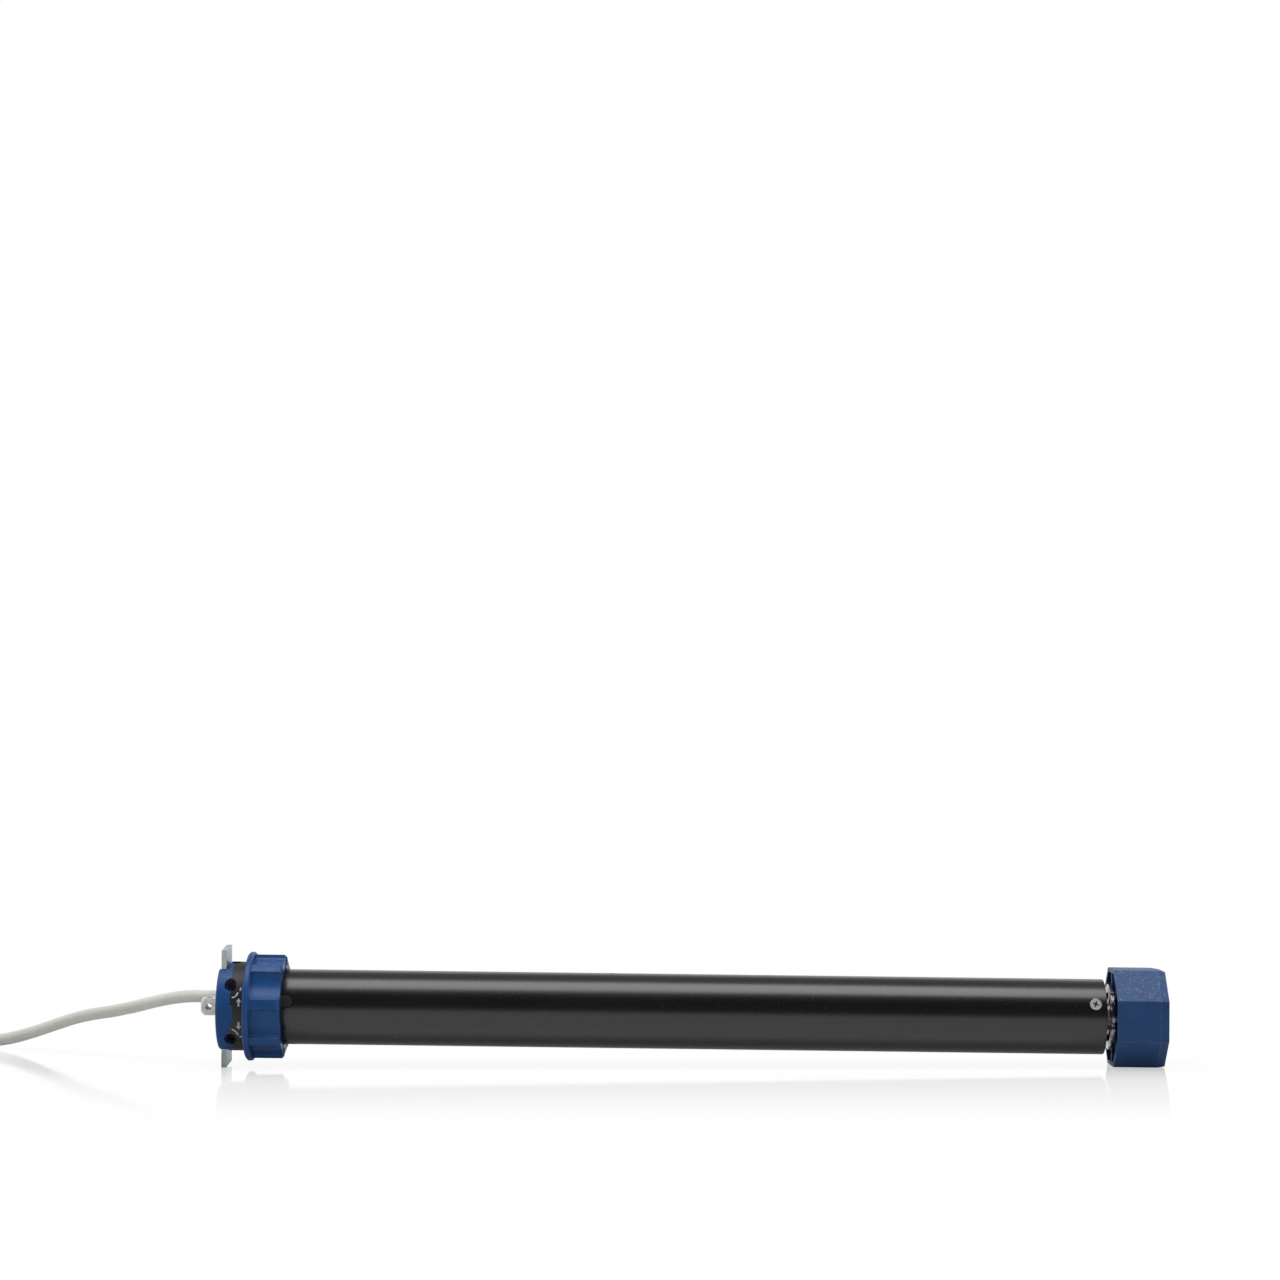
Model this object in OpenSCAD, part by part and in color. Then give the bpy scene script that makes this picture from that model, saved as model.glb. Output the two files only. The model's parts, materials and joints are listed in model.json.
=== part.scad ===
// Tubular roller blind motor, 45 mm class, lying on a flat surface with its cord coiled.
// X runs along the motor axis from the bracket face of the head to the drive wheel.
// The origin is on the axis in the plane of the head's outer face, and +Z is up.

/* [Tube] */
// Outside diameter of the steel motor tube
tube_d = 45; // [44:0.5:46]
// Wall of the motor tube
tube_wall = 1.2; // [1:0.1:1.4]
// Length of the motor tube
tube_len = 494.8; // [480:0.2:520]
// Width of the slots that take the head's latch tongues
slot_w = 7.9; // [7.4:0.1:8.6]
// Length of those slots from the tube's end
slot_len = 8.9; // [8:0.1:11]
// Distance of the stator rivets from the tube's head end
rivet_from_end = 199; // [190:1:230]
// Diameter of the stator rivets
rivet_d = 3.2; // [2.8:0.1:3.6]

/* [Head] */
// Diameter of the end cap and of the black ring behind it
head_d = 53.4; // [52:0.1:55]
// Thickness of the end cap
cap_len = 8.5; // [8.2:0.1:9]
// Length of the black ring behind the cap
ring_len = 7.7; // [7.4:0.1:9]
// How far the head is turned about the motor axis where the motor lies
head_roll = 5.3; // [3:0.1:8]
// Diameter of the neck that carries the crown
neck_d = 45.8; // [45.6:0.1:46.4]
// Length of the neck
neck_len = 20.8; // [20.6:0.1:24]
// Length of the head inside the tube
insert_len = 15; // [13:0.5:20]
// Angle of the first latch tongue above the front
tongue_angle = 18.7; // [10:0.1:26]

/* [Bracket plate and stud] */
// Length of the bracket plate from tip to tip
plate_len = 71; // [66:0.5:78]
// Width of the bracket plate
plate_w = 22; // [18:0.5:24]
// Thickness of the bracket plate
plate_t = 3; // [2.4:0.1:3.2]
// Depth of the plate below the cap's outer face
plate_recess = 1.5; // [1:0.1:1.6]
// Side of the square stud
stud_side = 10; // [9:0.1:11]
// How far the stud stands out of the cap's face
stud_out = 12; // [10:0.5:16]
// Diameter of the cross holes for the retaining pin
stud_hole_d = 4; // [3.5:0.1:5]
// Distance of the cross holes from the cap's face
stud_hole_x = 7.4; // [6:0.1:8]

/* [Limit setting screws] */
// Distance of the setting holes from the cap's face
setting_x = 8.4; // [8:0.1:9]
// Angle of each setting hole from the head's front line
setting_angle = 37; // [34:0.5:40]
// Diameter of the setting holes
setting_hole_d = 7.3; // [7:0.1:8]
// Diameter of the setting screws
setting_d = 6.2; // [5.6:0.1:6.4]
// Width across the flats of their hexagon sockets
setting_key = 4; // [3:0.1:4]

/* [Crown] */
// Diameter of the crown's flange
flange_d = 65.3; // [64:0.1:68]
// Thickness of the crown's flange
flange_t = 3.75; // [3:0.05:4]
// Length of the whole crown
crown_len = 22; // [21.6:0.1:24]
// Diameter over the crown's eight ridges
crown_d = 62.2; // [60:0.1:63]
// Width across the flats between the ridges
crown_flats = 56; // [54.5:0.1:57]
// Width of each ridge
ridge_w = 7; // [5:0.1:8]
// Angle of the nearest ridge above the front
ridge_angle = 7; // [0:0.5:22]
// Teeth of the gear inside the crown, a multiple of four
crown_teeth = 64; // [64:4:64]
// Teeth of the limit pinion and of each spindle gear
pinion_teeth = 12; // [12:1:12]
// Tooth size of the limit gears
limit_module = 0.75; // [0.74:0.01:0.76]

/* [Drive wheel] */
// Width across the flats of the drive wheel
wheel_flats = 57.8; // [56:0.1:59]
// Length of the drive wheel
wheel_len = 30.6; // [28:0.1:34]
// Gap between the tube's end and the wheel
wheel_gap = 5.1; // [4.8:0.1:6]
// Wall of the wheel's rim
wheel_wall = 2.3; // [2:0.1:3]
// Length of the lead-in taper at the wheel's outer end
taper_len = 4.8; // [3:0.1:6]
// Depth of that taper
taper_in = 0.7; // [0.5:0.1:1.5]
// Thickness of the wheel's ribs
rib_t = 2; // [1.6:0.1:2.6]
// Outside diameter of the output flange's rim
out_flange_d = 39; // [36:0.5:40]
// Radial width of that rim
out_flange_rim = 4.8; // [3:0.1:5.5]

/* [Tube screws] */
// Diameter of the countersunk heads
screw_head_d = 7.1; // [6.6:0.1:7.4]
// Distance of the screws from the tube's drive end
screw_from_end = 6.8; // [6:0.1:9]
// Angle of the first screw above the front
screw_angle = 24.4; // [0:0.1:40]

/* [Motor and brake] */
// Length of the stator's lamination stack
stator_len = 90; // [80:1:92]
// Diameter of the stator's bore
stator_bore = 25; // [22:0.5:27]
// Air gap between rotor and stator
air_gap = 0.3; // [0.25:0.05:0.5]
// Diameter of the rotor shaft
shaft_d = 8; // [7:0.5:9]
// Diameter of the capacitor
capacitor_d = 32; // [28:0.5:34]
// Length of the capacitor
capacitor_len = 70; // [60:1:72]

/* [Gearbox] */
// Teeth of each sun gear
sun_teeth = 12; // [12:1:12]
// Teeth of each planet gear
planet_teeth = 21; // [21:1:21]
// Tooth size of the planetary gears
gear_module = 0.65; // [0.64:0.01:0.66]
// Tooth width of the first, second and third stage
stage_w1 = 11; // [9:0.5:12]
// Tooth width of the second stage
stage_w2 = 15; // [12:0.5:16]
// Tooth width of the third stage
stage_w3 = 23; // [18:0.5:24]
// Diameter of the output shaft
out_shaft_d = 16; // [14:0.5:17]

/* [Cord] */
// Diameter of the cord
cord_d = 7.5; // [7:0.1:8]
// Turns in each of the coil's two layers
coil_turns = 3.625; // [2.625:1:3.625]
// Mean radius of the innermost turn
coil_in_r = 30; // [30:1:36]
// Clear distance between neighbouring turns
coil_gap = 0.6; // [0.5:0.1:1]

/* [Hidden] */

fit = 0.1;        // running and push fits, on the radius
loose = 0.3;      // between pieces that only pass each other
cut = 1;          // how far a cutting shape runs past a face
fine = 96;        // facets shown on a large round
small = 32;       // facets shown on a small round

// Stations along the motor axis
crown_x = cap_len + ring_len + loose;
neck_x = cap_len + ring_len;
tube_x = neck_x + neck_len;
insert_x = tube_x + insert_len;
tube_end = tube_x + tube_len;
wheel_x = tube_end + wheel_gap;
wheel_end = wheel_x + wheel_len;
tube_r = tube_d / 2;
bore_r = tube_r - tube_wall;
body_r = bore_r - fit;         // what sits inside the tube
head_r = head_d / 2;
neck_r = neck_d / 2;
wall_x = neck_x + 1.8;         // inner face of the head's front wall
neck_bore = neck_r - 1.9;
insert_bore = body_r - 1.5;

// Shapes along the axis: rod and pipe run from x0 to x1, and along_x lifts a drawing of the
// YZ plane. Front angles are measured upward from the front of the motor, which faces -Y.
module rod(x0, x1, r, f = fine)
  translate([x0, 0, 0]) rotate([0, 90, 0]) cylinder(h = x1 - x0, r = r, $fn = f);
module pipe(x0, x1, ro, ri)
  difference() {
    rod(x0, x1, ro);
    rod(x0 - cut, x1 + cut, ri);
  }
module cone(x0, x1, r0, r1, f = fine)
  translate([x0, 0, 0]) rotate([0, 90, 0]) cylinder(h = x1 - x0, r1 = r0, r2 = r1, $fn = f);
module along_x(x0, x1)
  translate([x0, 0, 0]) rotate([90, 0, 90]) linear_extrude(x1 - x0) children();
module at_yz(p) translate([0, p[0], p[1]]) children();
module at_front(angle) rotate([-angle, 0, 0]) children();
module head_frame() rotate([head_roll, 0, 0]) children();
module block(x0, x1, y0, y1, z0, z1) translate([x0, y0, z0]) cube([x1 - x0, y1 - y0, z1 - z0]);
module square_rod(x0, x1, half) block(x0, x1, -half, half, -half, half);
// A rod that points out of the front, its mouth at y = -y1
module front_rod(x, z, y0, y1, r, f = small)
  translate([x, -y0, z]) rotate([90, 0, 0]) cylinder(h = y1 - y0, r = r, $fn = f);
// The same shape on both sides of the horizontal plane
module above_and_below() {
  children();
  mirror([0, 0, 1]) children();
}

// Involute gears. Teeth are thinned by the backlash on each flank, and addendum and
// dedendum are in modules. A ring's gaps are drawn as the teeth of a wider gear.
pressure = 25;
addendum = 0.8;
dedendum = 1.05;
flank_play = 0.06;
function involute(a) = tan(a) * 180 / PI - a;
function tooth_half(r, teeth, m, play) =
  let (base = m * teeth / 2 * cos(pressure), at = r <= base ? 0 : acos(base / r))
  90 / teeth + involute(pressure) - involute(at) + play / (m * teeth / 2) * 180 / PI;
function tooth_points(teeth, m, root, tip, play) =
  let (base = max(root + 0.05, m * teeth / 2 * cos(pressure)), mid = (base + tip) / 2)
  [for (i = [0:teeth - 1]) each
    let (radii = [root, base, mid, tip])
    [for (s = [-1, 1]) each
      [for (k = s < 0 ? [0:3] : [3:-1:0])
        let (a = i * 360 / teeth + s * tooth_half(radii[k], teeth, m, play))
        radii[k] * [cos(a), sin(a)]]]];
module gear_2d(teeth, m, phase = 0)
  rotate(phase)
    polygon(tooth_points(teeth, m, m * (teeth / 2 - dedendum), m * (teeth / 2 + addendum), -flank_play));
module ring_gaps_2d(teeth, m, phase = 0)
  rotate(phase)
    polygon(tooth_points(teeth, m, m * (teeth / 2 - addendum), m * (teeth / 2 + dedendum), flank_play));
// Phase of a gear inside a ring, seen from the axis at angle a, when a ring gap is at angle 0
function inside_phase(a, ring, teeth) = a - a * ring / teeth;
// Phase of a gear that meshes outside another one whose phase is p, at angle a from it
function outside_phase(a, teeth_p, p, teeth) = a + 180 + (180 - teeth_p * (p - a)) / teeth;
function polar(r, a) = r * [cos(a), sin(a)];
function unrolled(p) = [p[0] * cos(head_roll) + p[1] * sin(head_roll),
                        p[1] * cos(head_roll) - p[0] * sin(head_roll)];

// Cord route. The points are chosen by hand, from the gland's mouth to the coil.
cord_route = [[-5.5, 17, 4], [-13, 17, 4], [-21, 19.5, 3.8], [-29, 24, 2.8], [-38, 30, 1],
  [-48, 37, -1.6], [-58, 44.5, -4.6], [-68, 51.5, -7.3], [-78, 58.5, -9.7], [-90, 67, -12.2],
  [-103, 76, -15.6], [-118, 85, -20.8], [-134, 93, -26.6], [-151, 100, -31.6], [-168, 104.8, -34],
  [-185, 107.6, -34.5], [-202, 108.9, -34.3], [-212, 109, -34.3], [-221, 109, -34.4]];
cord_r = cord_d / 2;
cord_sides = 8;
coil_sides = 6;
turn_rings = 24;
coil_pitch = cord_d + coil_gap;
coil_out_r = coil_in_r + coil_pitch * coil_turns;
coil_rise = cord_d + 0.5;
tail_len = 78;
tail_drop = 44;
strap_t = 0.9;
strap_w = 5;
strap_gap = 0.2;

// The motor rests on the plate's front lower corner and on the drive wheel's lower flat, so
// the surface below it is tilted against the motor axis.
rest_head = plate_len / 2 * cos(head_roll) + plate_w / 2 * sin(head_roll);
rest_wheel = wheel_flats / 2;
rest_tilt = atan((rest_head - rest_wheel) / (wheel_end - taper_len - plate_recess));

// One ring of a swept tube: n points of radius r around p, square to direction d
function unit(v) = v / norm(v);
function ring_at(p, d, r, n) =
  let (t = unit(d), s = unit(cross(t, [0, 0, 1])), u = cross(s, t))
  [for (k = [0:n - 1]) p + r * (cos((k + 0.5) * 360 / n) * s + sin((k + 0.5) * 360 / n) * u)];
function direction(path, i, first, last) =
  i == 0 ? first : i == len(path) - 1 ? last : unit(path[i] - path[i - 1]) + unit(path[i + 1] - path[i]);
// Closed skin over a row of rings of n points each
module skin(rings, n) {
  last = (len(rings) - 1) * n;
  points = [for (ring = rings) each ring];
  sides = [for (i = [0:len(rings) - 2], k = [0:n - 1]) each
    let (a = i * n + k, b = i * n + (k + 1) % n) [[a, b, a + n], [b, b + n, a + n]]];
  caps = [for (k = [1:n - 2]) each [[0, k + 1, k], [last, last + k, last + k + 1]]];
  polyhedron(points = points, faces = concat(sides, caps), convexity = 8);
}
module sweep_tube(path, r, n, first, last)
  skin([for (i = [0:len(path) - 1]) ring_at(path[i], direction(path, i, first, last), r, n)], n);

// Coil path in its own level frame, its centre at the origin. It winds anticlockwise from
// the back, inward in the lower layer and outward again in the upper one.
function smooth(t) = let (c = min(1, max(0, t))) c * c * (3 - 2 * c);
function coil_point(u) =
  let (r = coil_in_r + coil_pitch * abs(u - coil_turns), a = 90 + 360 * u)
  [r * cos(a), r * sin(a), coil_rise * smooth(2 * (u - coil_turns) + 0.5)];
coil_steps = round(2 * coil_turns * turn_rings);
tail_step = 13;
coil_path = concat([[cord_d, coil_out_r, 0]],
  [for (i = [0:coil_steps]) coil_point(i / turn_rings)],
  [for (y = [tail_step:tail_step:tail_len])
    [-coil_out_r, -y, coil_rise * (1 - smooth((y - tail_step) / tail_drop))]]);
coil_last = coil_path[len(coil_path) - 1];
// Least distance between two stretches of the coil that are not neighbours
function to_segment(p, a, b) =
  let (t = min(1, max(0, (p - a) * (b - a) / ((b - a) * (b - a))))) norm(p - a - t * (b - a));
apart = 8;
coil_clear = min([for (i = [0:len(coil_path) - 1], j = [i + apart:1:len(coil_path) - 2])
  to_segment(coil_path[i], coil_path[j], coil_path[j + 1])]) - cord_d;
echo(coil_least_gap_mm = coil_clear);
coil_length = [for (i = [0:len(coil_path) - 2]) norm(coil_path[i + 1] - coil_path[i])];
run_length = [for (i = [0:len(cord_route) - 2]) norm(cord_route[i + 1] - cord_route[i])];
function total(v, i = 0) = i == len(v) ? 0 : v[i] + total(v, i + 1);
echo(cord_length_mm = total(coil_length) + total(run_length));

// The coil stands where the route ends, tilted with the surface below it
route_end = cord_route[len(cord_route) - 1];
module coil_frame()
  translate(route_end) rotate([0, -rest_tilt, 0]) translate([-cord_d, -coil_out_r, 0]) children();

module cable_run()
  color("#d2d2cc")
    sweep_tube(cord_route, cord_r, cord_sides, [-1, 0, 0], [-cos(rest_tilt), 0, -sin(rest_tilt)]);

module cable_coil()
  color("#d2d2cc") coil_frame() sweep_tube(coil_path, cord_r, coil_sides, [-1, 0, 0], [0, -1, 0]);

// The tie goes round the bundle of turns at one angle
tie_turn = 0.62;
tie_radii = [for (u = [tie_turn:1:2 * coil_turns]) norm([coil_point(u)[0], coil_point(u)[1]])];
tie_in = min(tie_radii) - cord_r - strap_gap;
tie_out = max(tie_radii) + cord_r + strap_gap;
module cable_tie()
  color("#202225") coil_frame() rotate([0, 0, 90 + 360 * tie_turn])
    difference() {
      block(tie_in - strap_t, tie_out + strap_t, -strap_w / 2, strap_w / 2,
        -cord_r - strap_gap - strap_t, coil_rise + cord_r + strap_gap + strap_t);
      block(tie_in, tie_out, -strap_w, strap_w, -cord_r - strap_gap, coil_rise + cord_r + strap_gap);
    }

// Bare end: four insulated cores out of the sheath, each with a ferrule
core_d = 2.4;
core_len = 32;
core_off = 1.3;
ferrule_d = 1.7;
ferrule_len = 8;
module core_places()
  for (s = [-1, 1], t = [-1, 1])
    translate([coil_last[0] + s * core_off, coil_last[1], coil_last[2] + t * core_off]) children();
module cable_cores()
  color("#3a5f9a") coil_frame() core_places()
    rotate([90, 0, 0]) cylinder(h = core_len, d = core_d, $fn = small);
module core_ferrules()
  color("#c9ccd0") coil_frame() core_places()
    translate([0, -core_len, 0]) rotate([90, 0, 0]) cylinder(h = ferrule_len, d = ferrule_d, $fn = small);

// Head. The gland sits where the cord's route begins.
gland_at = unrolled([cord_route[0][1], cord_route[0][2]]);
gland_tip = cord_route[0][0];
gland_end = 14.5;
gland_r = 5;
lead_at = [gland_at[0] - 1.1, gland_at[1]];
lead_r = 0.9;
lead_off = 1.1;
lead_hole = 2.9;
cap_chamfer = 0.8;
key_len = 2;              // how far the cap's two keys reach into the ring
key_half = 11;            // half the angle that a key covers
key_in = 3;               // radial depth of a key
slot_x = plate_recess + plate_t + fit;
relief_x = slot_x + 1.2;  // the slot is deeper towards the rim
relief_z = 20;
window_r = 3.8;
window_in = head_r - 4.2;
latch_w = 5;
latch_len = 2.6;
latch_root = 2;           // how deep each latch is rooted in the cap
latch_top = head_r - 1.5;
latch_foot = window_in - 1.2;
bolt_z = 11;              // fixing screws of the plate, either side of the stud
bolt_r = 2;
bolt_head_r = 3.9;
bolt_end = neck_x;
setting_z = head_r * sin(setting_angle);
setting_face = 15.5;      // how far in front of the axis the screws' faces lie
setting_end = 6;
pocket_r = setting_d / 2 + fit;

// What is cut from cap and ring alike
module head_cuts() {
  above_and_below() {
    front_rod(setting_x, setting_z, setting_face, head_r + cut, setting_hole_d / 2);
    front_rod(setting_x, setting_z, setting_end - fit, setting_face + cut, pocket_r);
    translate([setting_x, 0, window_in]) cylinder(h = head_r, r = window_r, $fn = small);
    at_yz([0, bolt_z]) rod(-cut, bolt_end + fit, bolt_r + fit / 2, small);
  }
  at_yz(gland_at) rod(-cut, gland_end, gland_r + fit);
}
module key_sectors(grow)
  for (side = [0, 180]) rotate([side, 0, 0])
    intersection() {
      pipe(cap_len - cut, cap_len + key_len + grow, head_r, head_r - key_in - grow);
      along_x(cap_len - 2 * cut, cap_len + key_len + 2 * cut)
        polygon([[0, 0], for (s = [-1, 1]) polar(2 * head_r, 180 + s * (key_half + grow))]);
    }

module end_cap()
  color("#24406f") head_frame() {
    difference() {
      union() {
        rod(cap_chamfer, cap_len, head_r);
        cone(0, cap_chamfer, head_r - cap_chamfer, head_r);
        intersection() {
          key_sectors(0);
          rod(0, cap_len + key_len, head_r);
        }
      }
      block(-cut, slot_x, -plate_w / 2 - fit, plate_w / 2 + fit, -head_r - cut, head_r + cut);
      above_and_below()
        block(-cut, relief_x, -plate_w / 2 - fit, plate_w / 2 + fit, relief_z, head_r + cut);
      square_rod(-cut, cap_len + cut, stud_side / 2 + fit);
      head_cuts();
    }
    above_and_below()
      block(cap_len - latch_root, cap_len + latch_len, -latch_w / 2, latch_w / 2, latch_foot, latch_top);
  }

module latch_pockets()
  above_and_below()
    block(cap_len - cut, cap_len + latch_len + fit, -latch_w / 2 - fit, latch_w / 2 + fit,
      latch_foot - fit, latch_top + loose);

// Latch tongue: a round-ended pad flush with the outside of the tube
tongue_gap = 0.45;
module tongue(w, reach, r_in, r_out)
  intersection() {
    pipe(tube_x - cut, tube_x + reach + cut, r_out, r_in);
    union() {
      block(tube_x - cut, tube_x + reach - w / 2, -2 * tube_r, 0, -w / 2, w / 2);
      front_rod(tube_x + reach - w / 2, 0, 0, 2 * tube_r, w / 2);
    }
  }
module tongues(w, reach, r_in, r_out)
  for (k = [0:3]) at_front(tongue_angle + 90 * k) tongue(w, reach, r_in, r_out);

module head_body()
  color("#2b2b2b") head_frame()
    difference() {
      union() {
        rod(cap_len, neck_x, head_r);
        rod(neck_x, tube_x, neck_r);
        rod(tube_x, insert_x, body_r);
        tongues(slot_w - 2 * tongue_gap, slot_len - tongue_gap, body_r - cut, tube_r);
      }
      rod(wall_x, gears_x1, neck_bore);
      rod(wall_x, insert_x + cut, insert_bore);
      head_cuts();
      key_sectors(fit);
      latch_pockets();
      at_yz(lead_at) rod(gland_end - cut, wall_x + cut, lead_hole, small);
      at_yz(pinion_at) rod(axle_x - fit, wall_x + cut, axle_r + fit, small);
      at_yz(pinion_at) rod(pinion_x0 - loose, pinion_x1 + loose, pinion_tip + loose);
    }

module mounting_plate()
  color("#b4c0c4") head_frame()
    difference() {
      along_x(plate_recess, plate_recess + plate_t)
        square([plate_w, plate_len], center = true);
      square_rod(0, 2 * slot_x, stud_side / 2 + fit / 2);
      above_and_below() at_yz([0, bolt_z]) {
        rod(-cut, slot_x + cut, bolt_r + fit, small);
        cone(plate_recess, plate_recess + bolt_head_r - bolt_r, bolt_head_r, bolt_r, small);
      }
    }

stud_turn = 7.3;          // radius of the turned end of the square bar
stud_taper = 3;
module square_stud()
  color("#aeb7ba") head_frame()
    difference() {
      intersection() {
        square_rod(-stud_out, cap_len, stud_side / 2);
        union() {
          cone(-stud_out, stud_taper - stud_out, stud_turn - stud_taper, stud_turn);
          rod(stud_taper - stud_out, cap_len, stud_turn);
        }
      }
      front_rod(-stud_hole_x, 0, -stud_side, stud_side, stud_hole_d / 2);
      translate([-stud_hole_x, 0, -stud_side]) cylinder(h = 2 * stud_side, d = stud_hole_d, $fn = small);
    }

bolt_x = plate_recess + fit;
bolt_key = 2.4;
bolt_key_len = 1.5;
module head_screws()
  color("#c8ccce") head_frame() above_and_below() at_yz([0, bolt_z])
    difference() {
      union() {
        cone(bolt_x, bolt_x + bolt_head_r - bolt_r, bolt_head_r - fit, bolt_r - fit, small);
        rod(bolt_x + bolt_key_len - fit, bolt_end, bolt_r - fit / 2, small);
      }
      rod(0, bolt_x + bolt_key_len, bolt_key / 2, 6);
    }

gland_mid = gland_r - 0.2;
gland_mouth = gland_r - 0.7;
module cable_gland()
  color("#30302f") head_frame() at_yz(gland_at) {
    cone(gland_tip, 0, gland_mouth, gland_mid);
    cone(0, gland_end, gland_mid, gland_r);
  }

module lead_wires()
  color("#6b4a35") head_frame() at_yz(lead_at)
    for (s = [-1, 1], t = [-1, 1])
      at_yz([s * lead_off, t * lead_off]) rod(gland_end, rear_x - loose - fit, lead_r, small);

// Limit unit: the pinion meshes with the gear inside the crown and turns both spindles
pinion_orbit = limit_module * (crown_teeth - pinion_teeth) / 2;
pinion_tip = limit_module * (pinion_teeth / 2 + addendum);
pinion_at = [0, pinion_orbit];
pinion_w = 6;
pinion_x0 = neck_x + 6.8;
pinion_x1 = pinion_x0 + pinion_w;
gears_x1 = pinion_x1 + 2; // end of the room for the gears
axle_x = neck_x - 1.6;
axle_r = 1.2;
axle_out = 1.5;
spindle_fall = 225;       // direction from the pinion to the spindle on the front side
spindle_step = limit_module * pinion_teeth;
up_at = pinion_at + polar(spindle_step, spindle_fall);
down_at = [-up_at[0], up_at[1]];
spindle_r = 2.5;
spindle_end = 100;
thread_pitch = 2;
thread_w = 0.9;
thread_in = 0.4;
frame_x0 = wall_x + 2 * fit;
frame_x1 = frame_x0 + 2.8;
frame_back = 98;
frame_t = 3;
frame_end = frame_back + frame_t;
frame_r = neck_bore - loose;
pinion_phase = inside_phase(90, crown_teeth, pinion_teeth);

module limit_pinion()
  color("#e6e3da") head_frame() at_yz(pinion_at) {
    along_x(pinion_x0, pinion_x1) gear_2d(pinion_teeth, limit_module, pinion_phase);
    rod(axle_x, pinion_x1 + axle_out, axle_r, small);
  }

module spindle(at, angle)
  head_frame() at_yz(at) {
    along_x(pinion_x0, pinion_x1)
      gear_2d(pinion_teeth, limit_module, outside_phase(angle, pinion_teeth, pinion_phase, pinion_teeth));
    difference() {
      rod(frame_x0, spindle_end, spindle_r, small);
      for (x = [nut_x - nut_back:thread_pitch:nut_x + nut_len + nut_ahead])
        pipe(x, x + thread_w, spindle_r + cut, spindle_r - thread_in);
    }
  }
module up_spindle() color("#c9a24a") spindle(up_at, spindle_fall);
module down_spindle() color("#c9a24a") spindle(down_at, 540 - spindle_fall);

nut_x = 66;
nut_back = 14;            // travel towards the head
nut_ahead = 18;           // travel towards the switches
nut_len = 8;
nut_half = pinion_tip;
nut_low = 6;
nut_high = 4;
module nut(at)
  head_frame() at_yz(at)
    difference() {
      block(nut_x, nut_x + nut_len, -nut_half, nut_half, -nut_low, nut_high);
      rod(nut_x - cut, nut_x + nut_len + cut, spindle_r + loose, small);
    }
module up_nut() color("#d8d4c8") nut(up_at);
module down_nut() color("#d8d4c8") nut(down_at);

rail_t = 2.6;
rail_in = nut_half + loose - up_at[0];
rail_low = 6;
rail_high = 12;
module limit_frame()
  color("#e9e7e0") head_frame() {
    difference() {
      union() {
        rod(frame_x0, frame_x1, frame_r);
        rod(frame_back, frame_end, body_r - 2 * fit);
      }
      for (at = [up_at, down_at]) at_yz(at) rod(frame_x0 - cut, frame_end + cut, spindle_r + fit, small);
      at_yz(pinion_at) rod(frame_x0 - cut, frame_x1 + cut, pinion_tip + loose);
      at_yz(lead_at) rod(frame_x0 - cut, frame_end + cut, lead_hole, small);
    }
    for (side = [0, 1]) mirror([0, side, 0])
      block(frame_x1, frame_back, rail_in, rail_in + rail_t, rail_low, rail_high);
  }

switch_len = 13;
switch_half = 3.2;
switch_h = 8;
switch_hole_r = 1;
switch_top = up_at[1] - nut_low - 0.5;
plunger_at = 3;
plunger_r = 0.9;
plunger_out = 0.3;
module limit_switches()
  color("#1f2226") head_frame()
    for (at = [up_at, down_at]) {
      difference() {
        block(frame_back - switch_len, frame_back, at[0] - switch_half, at[0] + switch_half,
          switch_top - switch_h, switch_top);
        front_rod(frame_back - switch_len / 2, switch_top - switch_h / 2,
          -at[0] - switch_half - cut, -at[0] + switch_half + cut, switch_hole_r);
      }
      translate([frame_back - switch_len + plunger_at, at[0], switch_top])
        cylinder(h = plunger_out, r = plunger_r, $fn = small);
    }

setting_key_len = 3;
module setting_screw()
  difference() {
    front_rod(setting_x, setting_z, setting_end, setting_face, setting_d / 2);
    front_rod(setting_x, setting_z, setting_face - setting_key_len, setting_face + cut,
      setting_key / 2 / cos(30), 6);
  }
module up_setting_screw() color("#6a3f78") head_frame() setting_screw();
module down_setting_screw() color("#1d2b4a") head_frame() mirror([0, 0, 1]) setting_screw();

// Crown: runs on the neck, and its inner gear turns the limit pinion
crown_end = crown_x + crown_len;
crown_bore = neck_r + fit;
flange_round = 0.9;
ridge_chamfer = 1.2;
ridge_base = 2.2;
ridge_draft = 1;          // how far each side of a ridge leans in
core_depth = 7;           // the ridges are cored from the open end
core_wall = 1.6;
ridge_in = crown_bore + 1;
crown_flange = crown_x + flange_t;
module crown_section() {
  out = crown_d / 2;
  half = ridge_w / 2;
  circle(d = crown_flats / cos(22.5), $fn = 8);
  for (k = [0:7]) rotate(45 * k)
    polygon([[-out - cut, ridge_draft - half], [-out - cut, half - ridge_draft], [ridge_base - out, half],
      [-ridge_in, half], [-ridge_in, -half], [ridge_base - out, -half]]);
}
module ridge_cores()
  for (k = [0:7]) at_front(ridge_angle + 45 * k)
    block(crown_end - core_depth, crown_end + cut, core_wall - crown_d / 2, -crown_bore - core_wall,
      core_wall / 2 - ridge_w / 2, ridge_w / 2 - core_wall / 2);
module crown_ring()
  color("#24406f")
    difference() {
      union() {
        rod(crown_x + flange_round, crown_flange - flange_round, flange_d / 2);
        cone(crown_x, crown_x + flange_round, flange_d / 2 - flange_round, flange_d / 2);
        cone(crown_flange - flange_round, crown_flange, flange_d / 2, flange_d / 2 - flange_round);
        intersection() {
          at_front(ridge_angle) along_x(crown_flange - cut, crown_end + cut) crown_section();
          union() {
            rod(crown_x, crown_end - ridge_chamfer, crown_d / 2);
            cone(crown_end - ridge_chamfer, crown_end, crown_d / 2, crown_d / 2 - ridge_chamfer);
          }
        }
      }
      rod(crown_x - cut, crown_end + cut, crown_bore);
      ridge_cores();
      head_frame() along_x(pinion_x0 - loose, pinion_x1 + loose) ring_gaps_2d(crown_teeth, limit_module);
    }

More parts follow.
